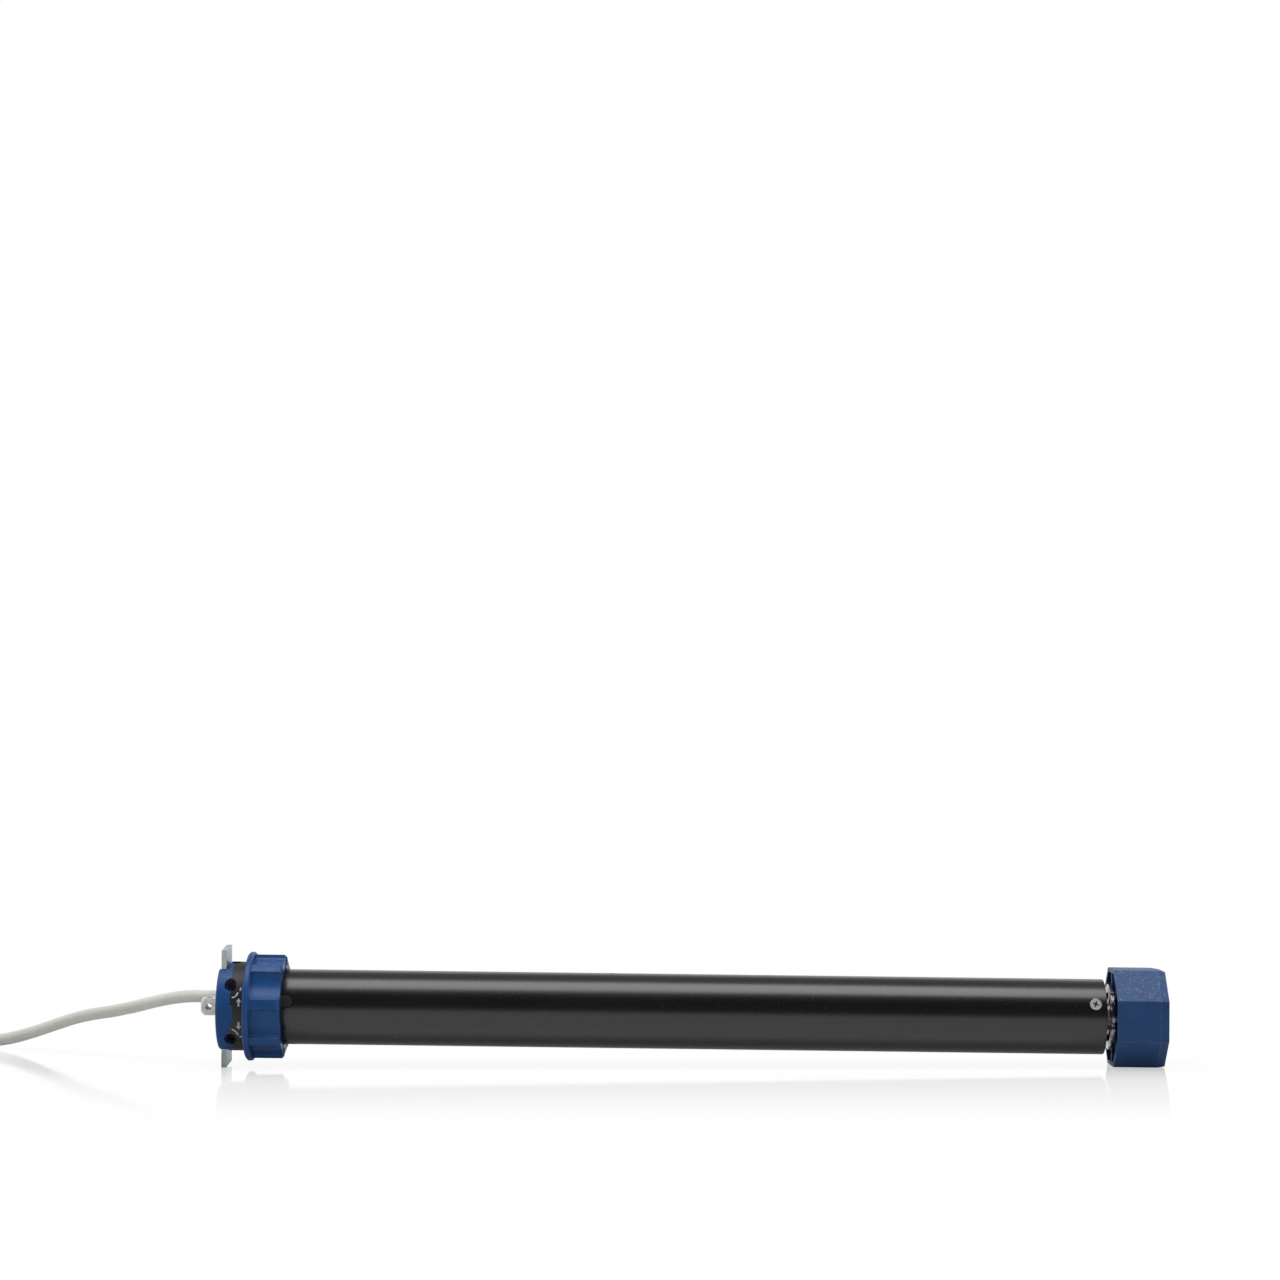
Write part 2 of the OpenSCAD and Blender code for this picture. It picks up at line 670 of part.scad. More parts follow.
// Tube with its latch slots, rivet holes and countersunk screw holes
screw_x = tube_end - screw_from_end;
screw_r = 1.9;
screw_len = 8;
rivet_x = tube_x + rivet_from_end;
screw_cone = screw_head_d / 2 - screw_r;
sink = 0.25;              // how far the flat heads lie below the top of the round tube
cross_angle = 22;
cross_len = 3.8;
cross_w = 1;
cross_depth = 1.6;
module at_screws()
  for (k = [0:2]) at_front(screw_angle + 120 * k)
    translate([screw_x, -tube_r, 0]) rotate([-90, 0, 0]) children();
// The shape of a tube screw below its face, grown by play for the holes that take it
module screw_form(play) {
  translate([0, 0, sink])
    cylinder(h = screw_cone, r1 = screw_head_d / 2 + play, r2 = screw_r + play, $fn = small);
  translate([0, 0, sink]) cylinder(h = screw_len + 2 * play, r = screw_r + play, $fn = small);
}
module screw_hole(play) {
  translate([0, 0, -cut]) cylinder(h = cut + sink, r = screw_head_d / 2 + play, $fn = small);
  screw_form(play);
}
module tube_screws()
  color("#b9b9b6") at_screws()
    difference() {
      screw_form(0);
      for (a = [0, 90]) rotate(cross_angle + a)
        translate([-cross_len / 2, -cross_w / 2, 0]) cube([cross_len, cross_w, cross_depth]);
    }
module motor_tube()
  color("#2a2a2b")
    difference() {
      pipe(tube_x, tube_end, tube_r, bore_r);
      head_frame() tongues(slot_w, slot_len, 0, tube_r + cut);
      at_screws() screw_hole(fit / 2);
      rivets(tube_r - rivet_len, tube_r + cut, rivet_d / 2 + fit / 2);
    }
rivet_len = 4;
module rivets(z0, z1, r)
  above_and_below() translate([rivet_x, 0, z0]) cylinder(h = z1 - z0, r = r, $fn = small);
module stator_rivets() color("#a8946a") rivets(tube_r - rivet_len, tube_r - sink, rivet_d / 2);

// Capacitor, lying against the wall of the tube beside the wires
rear_x = 188;             // where the motor begins
terminal_room = 3;        // between the capacitor's tabs and the motor
capacitor_at = (body_r - capacitor_d / 2) * [-0.96, -0.28];
tab_off = 4;
tab_t = 0.8;
tab_w = 6;
tab_len = 5;
capacitor_end = rear_x - terminal_room - tab_len;
module capacitor()
  color("#d9dadb") at_yz(capacitor_at) {
    rod(capacitor_end - capacitor_len, capacitor_end, capacitor_d / 2);
    for (s = [-1, 1]) at_yz([s * tab_off, 0])
      block(capacitor_end, capacitor_end + tab_len, -tab_t / 2, tab_t / 2, -tab_w / 2, tab_w / 2);
  }

// Motor
bell_t = 8;
bell_bolts = [15.5, 2.6]; // circle and radius of the holes for the through bolts
bearing_w = 6;
bearing_r = 9;
turns_len = 9;            // end turns of the winding, beyond the laminations
turns_room = [1, 4];      // between the end turns and the rear and front bells
stator_x = rear_x + bell_t + turns_room[0] + turns_len;
stator_end = stator_x + stator_len;
front_x = stator_end + turns_len + turns_room[1];
slots = 12;
slot_in = stator_bore / 2 + 0.8;
slot_out = slot_in + 4.6;
rotor_r = stator_bore / 2 - air_gap;
shaft_r = shaft_d / 2;
module bell(x, pocket_x)
  difference() {
    rod(x, x + bell_t, body_r);
    rod(x - cut, x + bell_t + cut, shaft_r + 1.2);
    rod(pocket_x, pocket_x + bearing_w, bearing_r + fit / 2);
    for (a = [45:90:315]) at_yz(polar(bell_bolts[0], a)) rod(x - cut, x + bell_t + cut, bell_bolts[1], small);
  }
module rear_bell() color("#9da2a6") bell(rear_x, rear_x + bell_t - bearing_w);
module front_bell() color("#9da2a6") bell(front_x, front_x);
module bearing(x) pipe(x, x + bearing_w, bearing_r, shaft_r + fit / 2);
module motor_bearings() color("#c3c7ca") {
  bearing(rear_x + bell_t - bearing_w);
  bearing(front_x);
}
// Half widths of a slot at its mouth, behind its mouth and at its bottom
slot_mouth = 1.1;
slot_neck = 1.3;
slot_foot = 2.3;
// Cross-section of the stator's slots, grown on every side
module stator_slots(grow)
  for (k = [0:slots - 1]) rotate(k * 360 / slots)
    polygon([[slot_in - grow - 2, -slot_mouth - grow], [slot_in, -slot_neck - grow],
      [slot_out + grow, -slot_foot - grow], [slot_out + grow, slot_foot + grow],
      [slot_in, slot_neck + grow], [slot_in - grow - 2, slot_mouth + grow]]);
module stator_core()
  color("#8a8d90")
    difference() {
      rod(stator_x, stator_end, body_r);
      rod(stator_x - cut, stator_end + cut, stator_bore / 2);
      along_x(stator_x - cut, stator_end + cut) stator_slots(0);
      rivets(tube_r - rivet_len - fit, tube_r, rivet_d / 2 + fit / 2);
    }
end_turns_r = slot_out + 1.4;
module stator_windings()
  color("#a8602c") {
    for (x = [stator_x - turns_len, stator_end + fit]) pipe(x, x + turns_len - fit, end_turns_r, slot_in);
    difference() {
      along_x(stator_x - 2 * fit, stator_end + 2 * fit) stator_slots(-fit);
      rod(stator_x - cut, stator_end + cut, slot_in);
    }
  }
// End rings of the rotor's cage, shown by a groove beside each
cage_ring = 5;
groove_w = 0.6;
groove_in = 0.5;
module rotor_core()
  color("#b3b6b8")
    difference() {
      rod(stator_x + 1, stator_end - 1, rotor_r);
      rod(stator_x, stator_end, shaft_r + fit / 2);
      for (x = [stator_x + cage_ring, stator_end - cage_ring - groove_w])
        pipe(x, x + groove_w, rotor_r + cut, rotor_r - groove_in);
    }
spigot_r = 1.6;           // the shaft's turned end, which carries the sun gear
module rotor_shaft()
  color("#cdd0d2") {
    rod(rear_x + 1, sun_x, shaft_r);
    rod(sun_x, carrier_x1 - 2, spigot_r, small);
  }

// Brake: the spring presses the armature plate and the disc against the lining
brake_x = front_x + bell_t + fit;
brake_len = 40.9;
brake_end = brake_x + brake_len;
brake_wall = 6;
brake_bore = body_r - 2.5;
lining_t = 2.4;
lining_r = 15;
lining_in = 9;
disc_t = 3;
disc_r = 15.5;
armature_t = 4;
hub_r = 7;                // of the disc and of the armature's guide
guide_len = 6;
lining_x = brake_end - brake_wall - lining_t;
disc_x = lining_x - loose - disc_t;
armature_x = disc_x - loose - armature_t;
module brake_housing()
  color("#9da2a6")
    difference() {
      rod(brake_x, brake_end, body_r);
      rod(brake_x - cut, brake_end - brake_wall, brake_bore);
      rod(brake_x, brake_end + cut, shaft_r + 1);
    }
module brake_lining() color("#5b5148") pipe(lining_x, brake_end - brake_wall, lining_r, lining_in);
module brake_disc()
  color("#b9bcbe") {
    pipe(disc_x, disc_x + disc_t, disc_r, shaft_r + fit / 2);
    pipe(disc_x + disc_t, brake_end - brake_wall, hub_r, shaft_r + fit / 2);
  }
module brake_armature()
  color("#8f9396") {
    pipe(armature_x, armature_x + armature_t, brake_bore - loose, shaft_r + 1);
    pipe(armature_x - guide_len, armature_x, hub_r, shaft_r + 1);
  }
spring_x = brake_x;
spring_r = 9.5;
spring_wire = 1.4;
spring_coils = 4;
spring_rings = 8;
wire_sides = 6;
// The spring's wire: its rings lie in planes that hold the motor's axis
module brake_spring()
  color("#d5d7d9") {
    run = armature_x - fit - spring_x - spring_wire;
    steps = spring_coils * spring_rings;
    skin([for (i = [0:steps])
      let (a = i * 360 / spring_rings, out = [0, cos(a), sin(a)])
      [for (k = [0:wire_sides - 1])
        let (b = -k * 360 / wire_sides)
        [spring_x + spring_wire / 2 + run * i / steps, 0, 0] + spring_r * out
        + spring_wire / 2 * (cos(b) * out + [sin(b), 0, 0])]], wire_sides);
  }

// Planetary gearbox: three like stages in one toothed sleeve
gear_room = 16;           // between the brake and the first stage
sun_x = brake_end + gear_room;
ring_teeth = sun_teeth + 2 * planet_teeth;
orbit = gear_module * (sun_teeth + planet_teeth) / 2;
first_planet = 90;
sun_phase = ((ring_teeth + sun_teeth) * first_planet + 180 * (planet_teeth - 1)) / sun_teeth;
carrier_r = gear_module * (ring_teeth / 2 - addendum) - 0.5;
pin_r = 2.4;
carrier_t = 4;
stage_gap = 1;            // between a carrier and the next stage
stage_x1 = sun_x + 1.5 * stage_gap;
carrier_x1 = stage_x1 + stage_w1 + loose;
stage_x2 = carrier_x1 + carrier_t + stage_gap;
carrier_x2 = stage_x2 + stage_w2 + loose;
stage_x3 = carrier_x2 + carrier_t + stage_gap;
carrier_x3 = stage_x3 + stage_w3 + loose;
out_carrier_t = 6;
sleeve_end = carrier_x3 + out_carrier_t + stage_gap;

module sun(x0, x1) along_x(x0, x1) gear_2d(sun_teeth, gear_module, sun_phase);
module planet(k, x, w)
  at_yz(polar(orbit, first_planet + 120 * k))
    difference() {
      along_x(x, x + w)
        gear_2d(planet_teeth, gear_module, inside_phase(first_planet + 120 * k, ring_teeth, planet_teeth));
      rod(x - cut, x + w + cut, pin_r + fit, small);
    }
module pins(x0, x1)
  for (k = [0:2]) at_yz(polar(orbit, first_planet + 120 * k)) rod(x0, x1, pin_r, small);
module sun_gear()
  color("#c7a458")
    difference() {
      sun(sun_x, carrier_x1 - loose);
      rod(sun_x - cut, carrier_x1, spigot_r + fit / 2, small);
    }
module gear_sleeve()
  color("#a7abad")
    difference() {
      rod(brake_end, sleeve_end, body_r);
      along_x(brake_end - cut, sleeve_end + cut) ring_gaps_2d(ring_teeth, gear_module);
    }
module carrier_one()
  color("#8d9194") {
    rod(carrier_x1, carrier_x1 + carrier_t, carrier_r);
    pins(stage_x1, carrier_x1);
    sun(carrier_x1 + carrier_t, carrier_x2 - loose);
  }
module carrier_two()
  color("#8d9194") {
    rod(carrier_x2, carrier_x2 + carrier_t, carrier_r);
    pins(stage_x2, carrier_x2);
    sun(carrier_x2 + carrier_t, carrier_x3 - loose);
  }
module output_carrier()
  color("#8d9194") {
    difference() {
      rod(carrier_x3, carrier_x3 + out_carrier_t, carrier_r);
      driver(fit / 2);
    }
    pins(stage_x3, carrier_x3);
  }
module planet_one_a() color("#c7a458") planet(0, stage_x1, stage_w1);
module planet_one_b() color("#c7a458") planet(1, stage_x1, stage_w1);
module planet_one_c() color("#c7a458") planet(2, stage_x1, stage_w1);
module planet_two_a() color("#c7a458") planet(0, stage_x2, stage_w2);
module planet_two_b() color("#c7a458") planet(1, stage_x2, stage_w2);
module planet_two_c() color("#c7a458") planet(2, stage_x2, stage_w2);
module planet_three_a() color("#b5b8ba") planet(0, stage_x3, stage_w3);
module planet_three_b() color("#b5b8ba") planet(1, stage_x3, stage_w3);
module planet_three_c() color("#b5b8ba") planet(2, stage_x3, stage_w3);

// Output end
out_r = out_shaft_d / 2;
bush_r = out_r + 3;
bush_len = 12;
end_wall = 17;
end_recess = 0.8;         // the housing ends just inside the tube
housing_end = tube_end - end_recess;
housing_wall = 3.5;
bush_x1 = sleeve_end + 2;
bush_x2 = housing_end - 1 - bush_len;
flat_half = out_r - 1.5;  // half the width across the shaft's two flats
flange_x = wheel_x - 1.9;
shaft_end = wheel_end - 0.5;
flats_x = tube_end + 1;
module gearbox_end()
  color("#a7abad")
    difference() {
      rod(sleeve_end, housing_end, body_r);
      rod(bush_x1 + bush_len + 1, housing_end - end_wall, body_r - housing_wall);
      rod(sleeve_end - cut, housing_end + cut, out_r + loose);
      rod(bush_x1, bush_x1 + bush_len, bush_r);
      rod(bush_x2, housing_end + cut, bush_r);
      at_screws() screw_hole(fit / 2);
    }
module output_bushes()
  color("#b08a4a") {
    pipe(bush_x1, bush_x1 + bush_len, bush_r - fit / 2, out_r + fit / 2);
    pipe(bush_x2, bush_x2 + bush_len, bush_r - fit / 2, out_r + fit / 2);
  }
// A round bar with two flats, grown by play for the bores that take it
module flatted(x0, x1, play)
  intersection() {
    rod(x0, x1, out_r + play);
    block(x0 - cut, x1 + cut, -flat_half - play, flat_half + play, -2 * out_r, 2 * out_r);
  }
// Square end of the output shaft, which the last carrier drives
driver_half = out_r * 0.62;
module driver(play) square_rod(carrier_x3 - play, carrier_x3 + out_carrier_t + cut, driver_half + play);
clip_x = shaft_end - 2;
clip_t = 1.2;
clip_deep = 1.2;          // depth of the clip's groove
centre_r = 3;             // centre bore in the shaft's end
centre_deep = 0.8;
module output_shaft()
  color("#c4c7c9")
    difference() {
      union() {
        driver(0);
        rod(carrier_x3 + out_carrier_t, flats_x, out_r);
        flatted(flats_x, shaft_end, 0);
      }
      pipe(clip_x, clip_x + clip_t + fit, out_r + cut, out_r - clip_deep);
      cone(shaft_end - centre_deep, shaft_end + fit, 0, centre_r, small);
    }
flange_end = wheel_x + 0.2;
flange_hub = out_r + 2.4;
flange_r = out_flange_d / 2;
spokes = 4;
spoke_w = 4.4;
notches = 6;
notch_r = 2.2;
notch_at = flange_r + 0.6;
module output_flange()
  color("#b9b4b4")
    difference() {
      union() {
        pipe(flange_x, flange_end, flange_r, flange_r - out_flange_rim);
        rod(flange_x, flange_end, flange_hub);
        for (k = [0:spokes - 1]) rotate([20 + k * 360 / spokes, 0, 0])
          block(flange_x, flange_end, flange_hub - cut, flange_r - out_flange_rim + 0.5,
            -spoke_w / 2, spoke_w / 2);
      }
      flatted(flange_x - cut, flange_end + cut, fit / 2);
      for (k = [0:notches - 1]) at_yz(polar(notch_at, 12 + k * 360 / notches))
        rod(flange_x - cut, flange_end + cut, notch_r, small);
    }

wheel_r = wheel_flats / 2 / cos(22.5);
web_t = 3;
wheel_hub = out_r + 2.6;
ribs_x = wheel_x + 0.4;
web_x = wheel_end - web_t;
clip_pocket = 12.5;
module octagon(half_flats) rotate(22.5) circle(r = half_flats / cos(22.5), $fn = 8);
// Two opposite sides of the wheel, drawn in at the taper
module wheel_side_pair()
  translate([0, wheel_r, 0]) rotate([90, 0, 0]) linear_extrude(2 * wheel_r)
    polygon([[wheel_x, -wheel_flats / 2], [wheel_end - taper_len, -wheel_flats / 2],
      [wheel_end, taper_in - wheel_flats / 2], [wheel_end, wheel_flats / 2 - taper_in],
      [wheel_end - taper_len, wheel_flats / 2], [wheel_x, wheel_flats / 2]]);
module drive_wheel()
  color("#22407a")
    difference() {
      intersection() {
        wheel_side_pair();
        rotate([45, 0, 0]) wheel_side_pair();
        rotate([90, 0, 0]) wheel_side_pair();
        rotate([135, 0, 0]) wheel_side_pair();
      }
      difference() {
        along_x(wheel_x - cut, web_x) octagon(wheel_flats / 2 - wheel_wall);
        rod(ribs_x, web_x + cut, wheel_hub);
        for (k = [0:7]) rotate([45 * k, 0, 0])
          block(ribs_x, web_x + cut, 0, wheel_flats / 2, -rib_t / 2, rib_t / 2);
      }
      flatted(wheel_x - cut, wheel_end + cut, fit / 2);
      rod(clip_x - fit, wheel_end + cut, clip_pocket);
    }
clip_width = 3.3;         // radial width of the clip
clip_open = 4.8;          // its opening
module wheel_clip()
  color("#70757a")
    difference() {
      pipe(clip_x + fit / 2, clip_x + clip_t, out_r - clip_deep + fit + clip_width, out_r - clip_deep + fit);
      rotate([30, 0, 0])
        block(clip_x - cut, clip_x + clip_t + cut, 0, 2 * out_r, -clip_open / 2, clip_open / 2);
    }

end_cap();
head_body();
mounting_plate();
square_stud();
head_screws();
cable_gland();
cable_run();
cable_coil();
cable_tie();
cable_cores();
core_ferrules();
lead_wires();
limit_frame();
limit_switches();
limit_pinion();
up_spindle();
down_spindle();
up_nut();
down_nut();
up_setting_screw();
down_setting_screw();
crown_ring();
motor_tube();
tube_screws();
stator_rivets();
capacitor();
rear_bell();
stator_core();
stator_windings();
front_bell();
motor_bearings();
rotor_core();
rotor_shaft();
brake_disc();
brake_armature();
brake_spring();
brake_lining();
brake_housing();
sun_gear();
gear_sleeve();
carrier_one();
planet_one_a();
planet_one_b();
planet_one_c();
carrier_two();
planet_two_a();
planet_two_b();
planet_two_c();
output_carrier();
planet_three_a();
planet_three_b();
planet_three_c();
gearbox_end();
output_bushes();
output_shaft();
output_flange();
drive_wheel();
wheel_clip();
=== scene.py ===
"""Looks of a tubular roller blind motor that lies on a pale surface with its cord coiled beside it."""
import json
from math import atan, cos, pi, radians, sin

import bmesh
import bpy
from mathutils import Matrix, Vector


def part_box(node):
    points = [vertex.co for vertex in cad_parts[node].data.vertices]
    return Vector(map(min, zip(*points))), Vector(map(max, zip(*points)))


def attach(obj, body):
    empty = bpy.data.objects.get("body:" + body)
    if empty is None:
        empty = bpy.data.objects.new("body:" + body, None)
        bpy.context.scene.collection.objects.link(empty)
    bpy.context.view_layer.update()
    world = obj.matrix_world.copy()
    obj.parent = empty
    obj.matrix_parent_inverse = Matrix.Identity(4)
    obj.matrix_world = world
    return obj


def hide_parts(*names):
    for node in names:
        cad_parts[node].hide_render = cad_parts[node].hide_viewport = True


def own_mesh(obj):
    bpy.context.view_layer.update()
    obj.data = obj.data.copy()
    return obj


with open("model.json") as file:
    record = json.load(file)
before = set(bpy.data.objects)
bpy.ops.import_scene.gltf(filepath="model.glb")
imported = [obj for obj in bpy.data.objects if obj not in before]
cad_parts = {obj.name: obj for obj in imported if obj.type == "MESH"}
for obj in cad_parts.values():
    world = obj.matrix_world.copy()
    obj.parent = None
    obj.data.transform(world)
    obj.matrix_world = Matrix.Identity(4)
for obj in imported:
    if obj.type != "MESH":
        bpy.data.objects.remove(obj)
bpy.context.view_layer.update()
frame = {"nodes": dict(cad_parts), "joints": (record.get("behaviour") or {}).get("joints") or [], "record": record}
mm = 0.001

# The motor's own sizes, in millimetres, as the solids have them
tube_r = 22.5
head_r = 26.7
head_roll = 5.3
ridge_angle, ridge_share, crown_face = 7, 0.34, 20.25
taper_x = 562.6
shear_x = 1.7
cord_d = 7.5
surface_z, surface_tilt = -36.364, 0.0133
surface_from = 1.5


def surface(x):
    """Height of the surface that the motor lies on, below x on its axis."""
    return surface_z + (x - surface_from) * surface_tilt


# Camera, at the photograph's place
frame_px = 1280
focal_px = 2897.5
camera_at = Vector((270.1, -1757.3, 160.3)) * mm
yaw, pitch, roll = radians(0.64), radians(2.082), radians(0.66)


def make_camera():
    """A camera level with the room, seen from which the motor's axis tilts."""
    ahead = Vector((-sin(yaw) * cos(pitch), cos(yaw) * cos(pitch), sin(pitch)))
    right = Vector((cos(yaw), sin(yaw), 0))
    up = right.cross(ahead)
    turned_right = right * cos(roll) + up * sin(roll)
    turned_up = up * cos(roll) - right * sin(roll)
    camera = bpy.data.objects.new("camera", bpy.data.cameras.new("camera"))
    camera.matrix_world = Matrix((turned_right, turned_up, -ahead)).transposed().to_4x4()
    camera.matrix_world.translation = camera_at
    camera.data.sensor_width = 36
    camera.data.lens = 36 * focal_px / frame_px
    camera.data.clip_start = 0.05
    camera.data.clip_end = 30
    bpy.context.scene.collection.objects.link(camera)
    bpy.context.scene.camera = camera


make_camera()


# Materials
def linear(code):
    """The linear colour of a hex colour as seen on a screen."""
    parts = [int(code[i:i + 2], 16) / 255 for i in (1, 3, 5)]
    return tuple(p / 12.92 if p <= 0.04045 else ((p + 0.055) / 1.055) ** 2.4 for p in parts) + (1,)


class Wire:
    """A socket's output. Sums and products of wires and numbers add Math nodes."""

    def __init__(self, home, socket):
        self.home = home
        self.socket = socket

    def _math(self, operation, first, second):
        return self.home.node("ShaderNodeMath", {"operation": operation}, [first, second])

    def __add__(self, other):
        return self._math("ADD", self, other)

    __radd__ = __add__

    def __mul__(self, other):
        return self._math("MULTIPLY", self, other)

    __rmul__ = __mul__

    def __sub__(self, other):
        return self._math("SUBTRACT", self, other)

    def __rsub__(self, other):
        return self._math("SUBTRACT", other, self)

    def size(self):
        return self.home.node("ShaderNodeMath", {"operation": "ABSOLUTE"}, [self])

    def most(self, other):
        return self._math("MAXIMUM", self, other)

    def least(self, other):
        return self._math("MINIMUM", self, other)


class NodeTree:
    """The nodes of a material or of the world."""

    def __init__(self, owner):
        owner.use_nodes = True
        self.tree = owner.node_tree

    def node(self, kind, settings=None, sockets=None, output=0):
        """Adds a node: its settings first, then the values or wires of its sockets."""
        made = self.tree.nodes.new(kind)
        for key, value in (settings or {}).items():
            setattr(made, key, value)
        pairs = sockets.items() if isinstance(sockets, dict) else enumerate(sockets or [])
        for key, value in pairs:
            self.feed(made.inputs[key], value)
        return Wire(self, made.outputs[output])

    def feed(self, socket, value):
        if isinstance(value, Wire):
            self.tree.links.new(value.socket, socket)
        else:
            socket.default_value = value

    def rise(self, value, low, high, least=0.0, most=1.0):
        """A number that goes smoothly from least to most as value goes from low to high."""
        return self.node("ShaderNodeMapRange", {"interpolation_type": "SMOOTHSTEP"},
                         {"Value": value, "From Min": low, "From Max": high, "To Min": least, "To Max": most},
                         "Result")

    def mix(self, share, first, second):
        """A colour between two colours or wires."""
        return self.node("ShaderNodeMix", {"data_type": "RGBA", "clamp_result": False},
                         {0: share, 6: first, 7: second}, 2)

    def mix_shader(self, share, first, second):
        return self.node("ShaderNodeMixShader", {}, {0: share, 1: first, 2: second})

    def show(self, surface):
        ends = [n for n in self.tree.nodes if n.type.startswith("OUTPUT")]
        self.tree.links.new(surface.socket, ends[0].inputs["Surface"])

    def dot(self, vector, way):
        return self.node("ShaderNodeVectorMath", {"operation": "DOT_PRODUCT"}, [vector, way], "Value")


class Finish(NodeTree):
    """One material: its node tree, and the shader that its surface ends in."""

    def __init__(self, name, colour, roughness, **sockets):
        self.material = bpy.data.materials.new(name)
        super().__init__(self.material)
        self.shader = self.tree.nodes["Principled BSDF"]
        self.colour = linear(colour)
        self.set("Base Color", self.colour)
        self.set("Roughness", roughness)
        for socket, value in sockets.items():
            self.set(socket.replace("_", " ").title().replace("Ior", "IOR"), value)
        self.material.diffuse_color = self.colour
        self.point = self.node("ShaderNodeTexCoord", output="Object")

    def set(self, socket, value):
        self.feed(self.shader.inputs[socket], value)

    def stretched(self, x, y, z):
        """The piece's own coordinates, in millimetres, times a factor along each axis."""
        return self.node("ShaderNodeVectorMath", {"operation": "MULTIPLY"},
                         [self.point, (1000 * x, 1000 * y, 1000 * z)])

    def noise(self, scale, detail=2.0, rough=0.5, stretch=(1, 1, 1)):
        """Noise with so many features to the millimetre."""
        return self.node("ShaderNodeTexNoise", {"noise_dimensions": "3D"},
                         {"Vector": self.stretched(*stretch), "Scale": scale, "Detail": detail,
                          "Roughness": rough})

    def along(self, x, y, z):
        """How far the place lies along a direction, in millimetres."""
        return self.dot(self.stretched(1, 1, 1), (x, y, z))

    def from_axis(self):
        """Distance from the motor's axis, in millimetres."""
        return self.node("ShaderNodeVectorMath", {"operation": "LENGTH"}, [self.stretched(0, 1, 1)], "Value")

    def edges(self, radius, low=0.02, high=0.2):
        """1 on outer and inner edges, 0 on open faces."""
        rounded = self.node("ShaderNodeBevel", {"samples": 6}, {"Radius": radius * mm}, "Normal")
        plain = self.node("ShaderNodeNewGeometry", output="Normal")
        return self.rise(1 - self.dot(rounded, plain), low, high)

    def facing(self, x, y, z):
        """1 where the surface faces a direction, 0 where it lies along it."""
        return self.dot(self.node("ShaderNodeNewGeometry", output="Normal"), (x, y, z))

    def between_ridges(self):
        """The hollow of the crown's sides: 0 in the middle between two ridges, 1 at each ridge."""
        angle = self.node("ShaderNodeMath", {"operation": "ARCTAN2"},
                          [self.along(0, 0, 1), self.along(0, -1, 0)])
        turn = self.node("ShaderNodeMath", {"operation": "FRACT"},
                         [angle * (4 / pi) + (8 - ridge_angle / 45)])
        aside = (turn - 0.5) * (1 / ridge_share)
        return (aside * aside).least(1) * self.rise(self.along(1, 0, 0), crown_face - 0.2, crown_face - 0.05)

    def bump(self, height, depth, radius=0.0):
        """Surface relief of so many millimetres, on edges rounded to a radius in millimetres."""
        sockets = {"Height": height, "Distance": depth * mm, "Strength": 1.0}
        if radius:
            sockets["Normal"] = self.node("ShaderNodeBevel", {"samples": 6},
                                          {"Radius": radius * mm}, "Normal")
        self.set("Normal", self.node("ShaderNodeBump", {}, sockets, "Normal"))
        return self


def shade(code, factor):
    r, g, b, _ = linear(code)
    return (min(1, r * factor), min(1, g * factor), min(1, b * factor), 1)


def head_way(y, z):
    """A direction of the head, which lies turned about the axis, in the motor's frame."""
    a = radians(head_roll)
    return (0, y * cos(a) - z * sin(a), y * sin(a) + z * cos(a))


def moulded(name, colour, roughness, grain, depth, radius, dust=0.0, scratch=0.0, level=0.4,
            edge_wear_and_highlight=0.0, veil=0.0, scoop=0.0, wear_and_highlight_line_x=None):
    """Moulded plastic: a fine spark-eroded grain, slow tone changes, dust on top, hair scratches
    and lighter edges, partly rubbed and partly a painted highlight. scoop hollows the sides between
    the crown's ridges, and a taper's start gets a lighter line of wear and painted highlight."""
    made = Finish(name, colour, roughness, specular_ior_level=level)
    slow = made.noise(0.06, 3)
    fine = made.noise(grain, 4, 0.6)
    tone = made.mix(made.rise(slow, 0.35, 0.65), shade(colour, 0.92), shade(colour, 1.08))
    speck = made.rise(made.noise(grain * 1.7, 1), 0.66, 0.78)
    contour = made.rise((made.noise(0.26, 4, 0.6) - 0.5).size(), 0.009, 0.003)
    hair = contour * made.rise(made.noise(0.35, 1), 0.5, 0.58)
    where = 0.25
    if veil:
        where = made.rise(made.facing(0, 0, 1), 0.45, 0.7, 0.1, 1)
        film = made.noise(0.35, 4, 0.65)
        tone = made.mix(where * made.rise(film, 0.3, 0.8, 0.3 * veil, veil), tone, linear("#75809a"))
    tone = made.mix(speck * where * dust, tone, linear("#a3acc0"))
    tone = made.mix(hair * where * scratch, tone, linear("#a8b2c8"))
    # Lighter edges, partly wear and partly a painted edge highlight; a taper's start gets the same lighter line
    if edge_wear_and_highlight:
        broken = made.rise(made.noise(0.4, 3), 0.35, 0.65, 0.3, 1)
        worn = made.edges(0.6, 0.006, 0.07)
        if wear_and_highlight_line_x:
            worn = worn.most(0.55 * made.rise((made.along(1, 0, 0) - wear_and_highlight_line_x).size(), 0.4, 0.1))
        tone = made.mix(worn * broken * edge_wear_and_highlight, tone, linear("#6c7fa8"))
    made.set("Base Color", tone)
    made.set("Roughness", roughness + 0.16 * (fine - 0.5) + 0.08 * (slow - 0.5))
    relief = fine + 0.5 * slow
    if scoop:
        relief = relief + (scoop / depth) * made.between_ridges()
    return made.bump(relief, depth, radius)


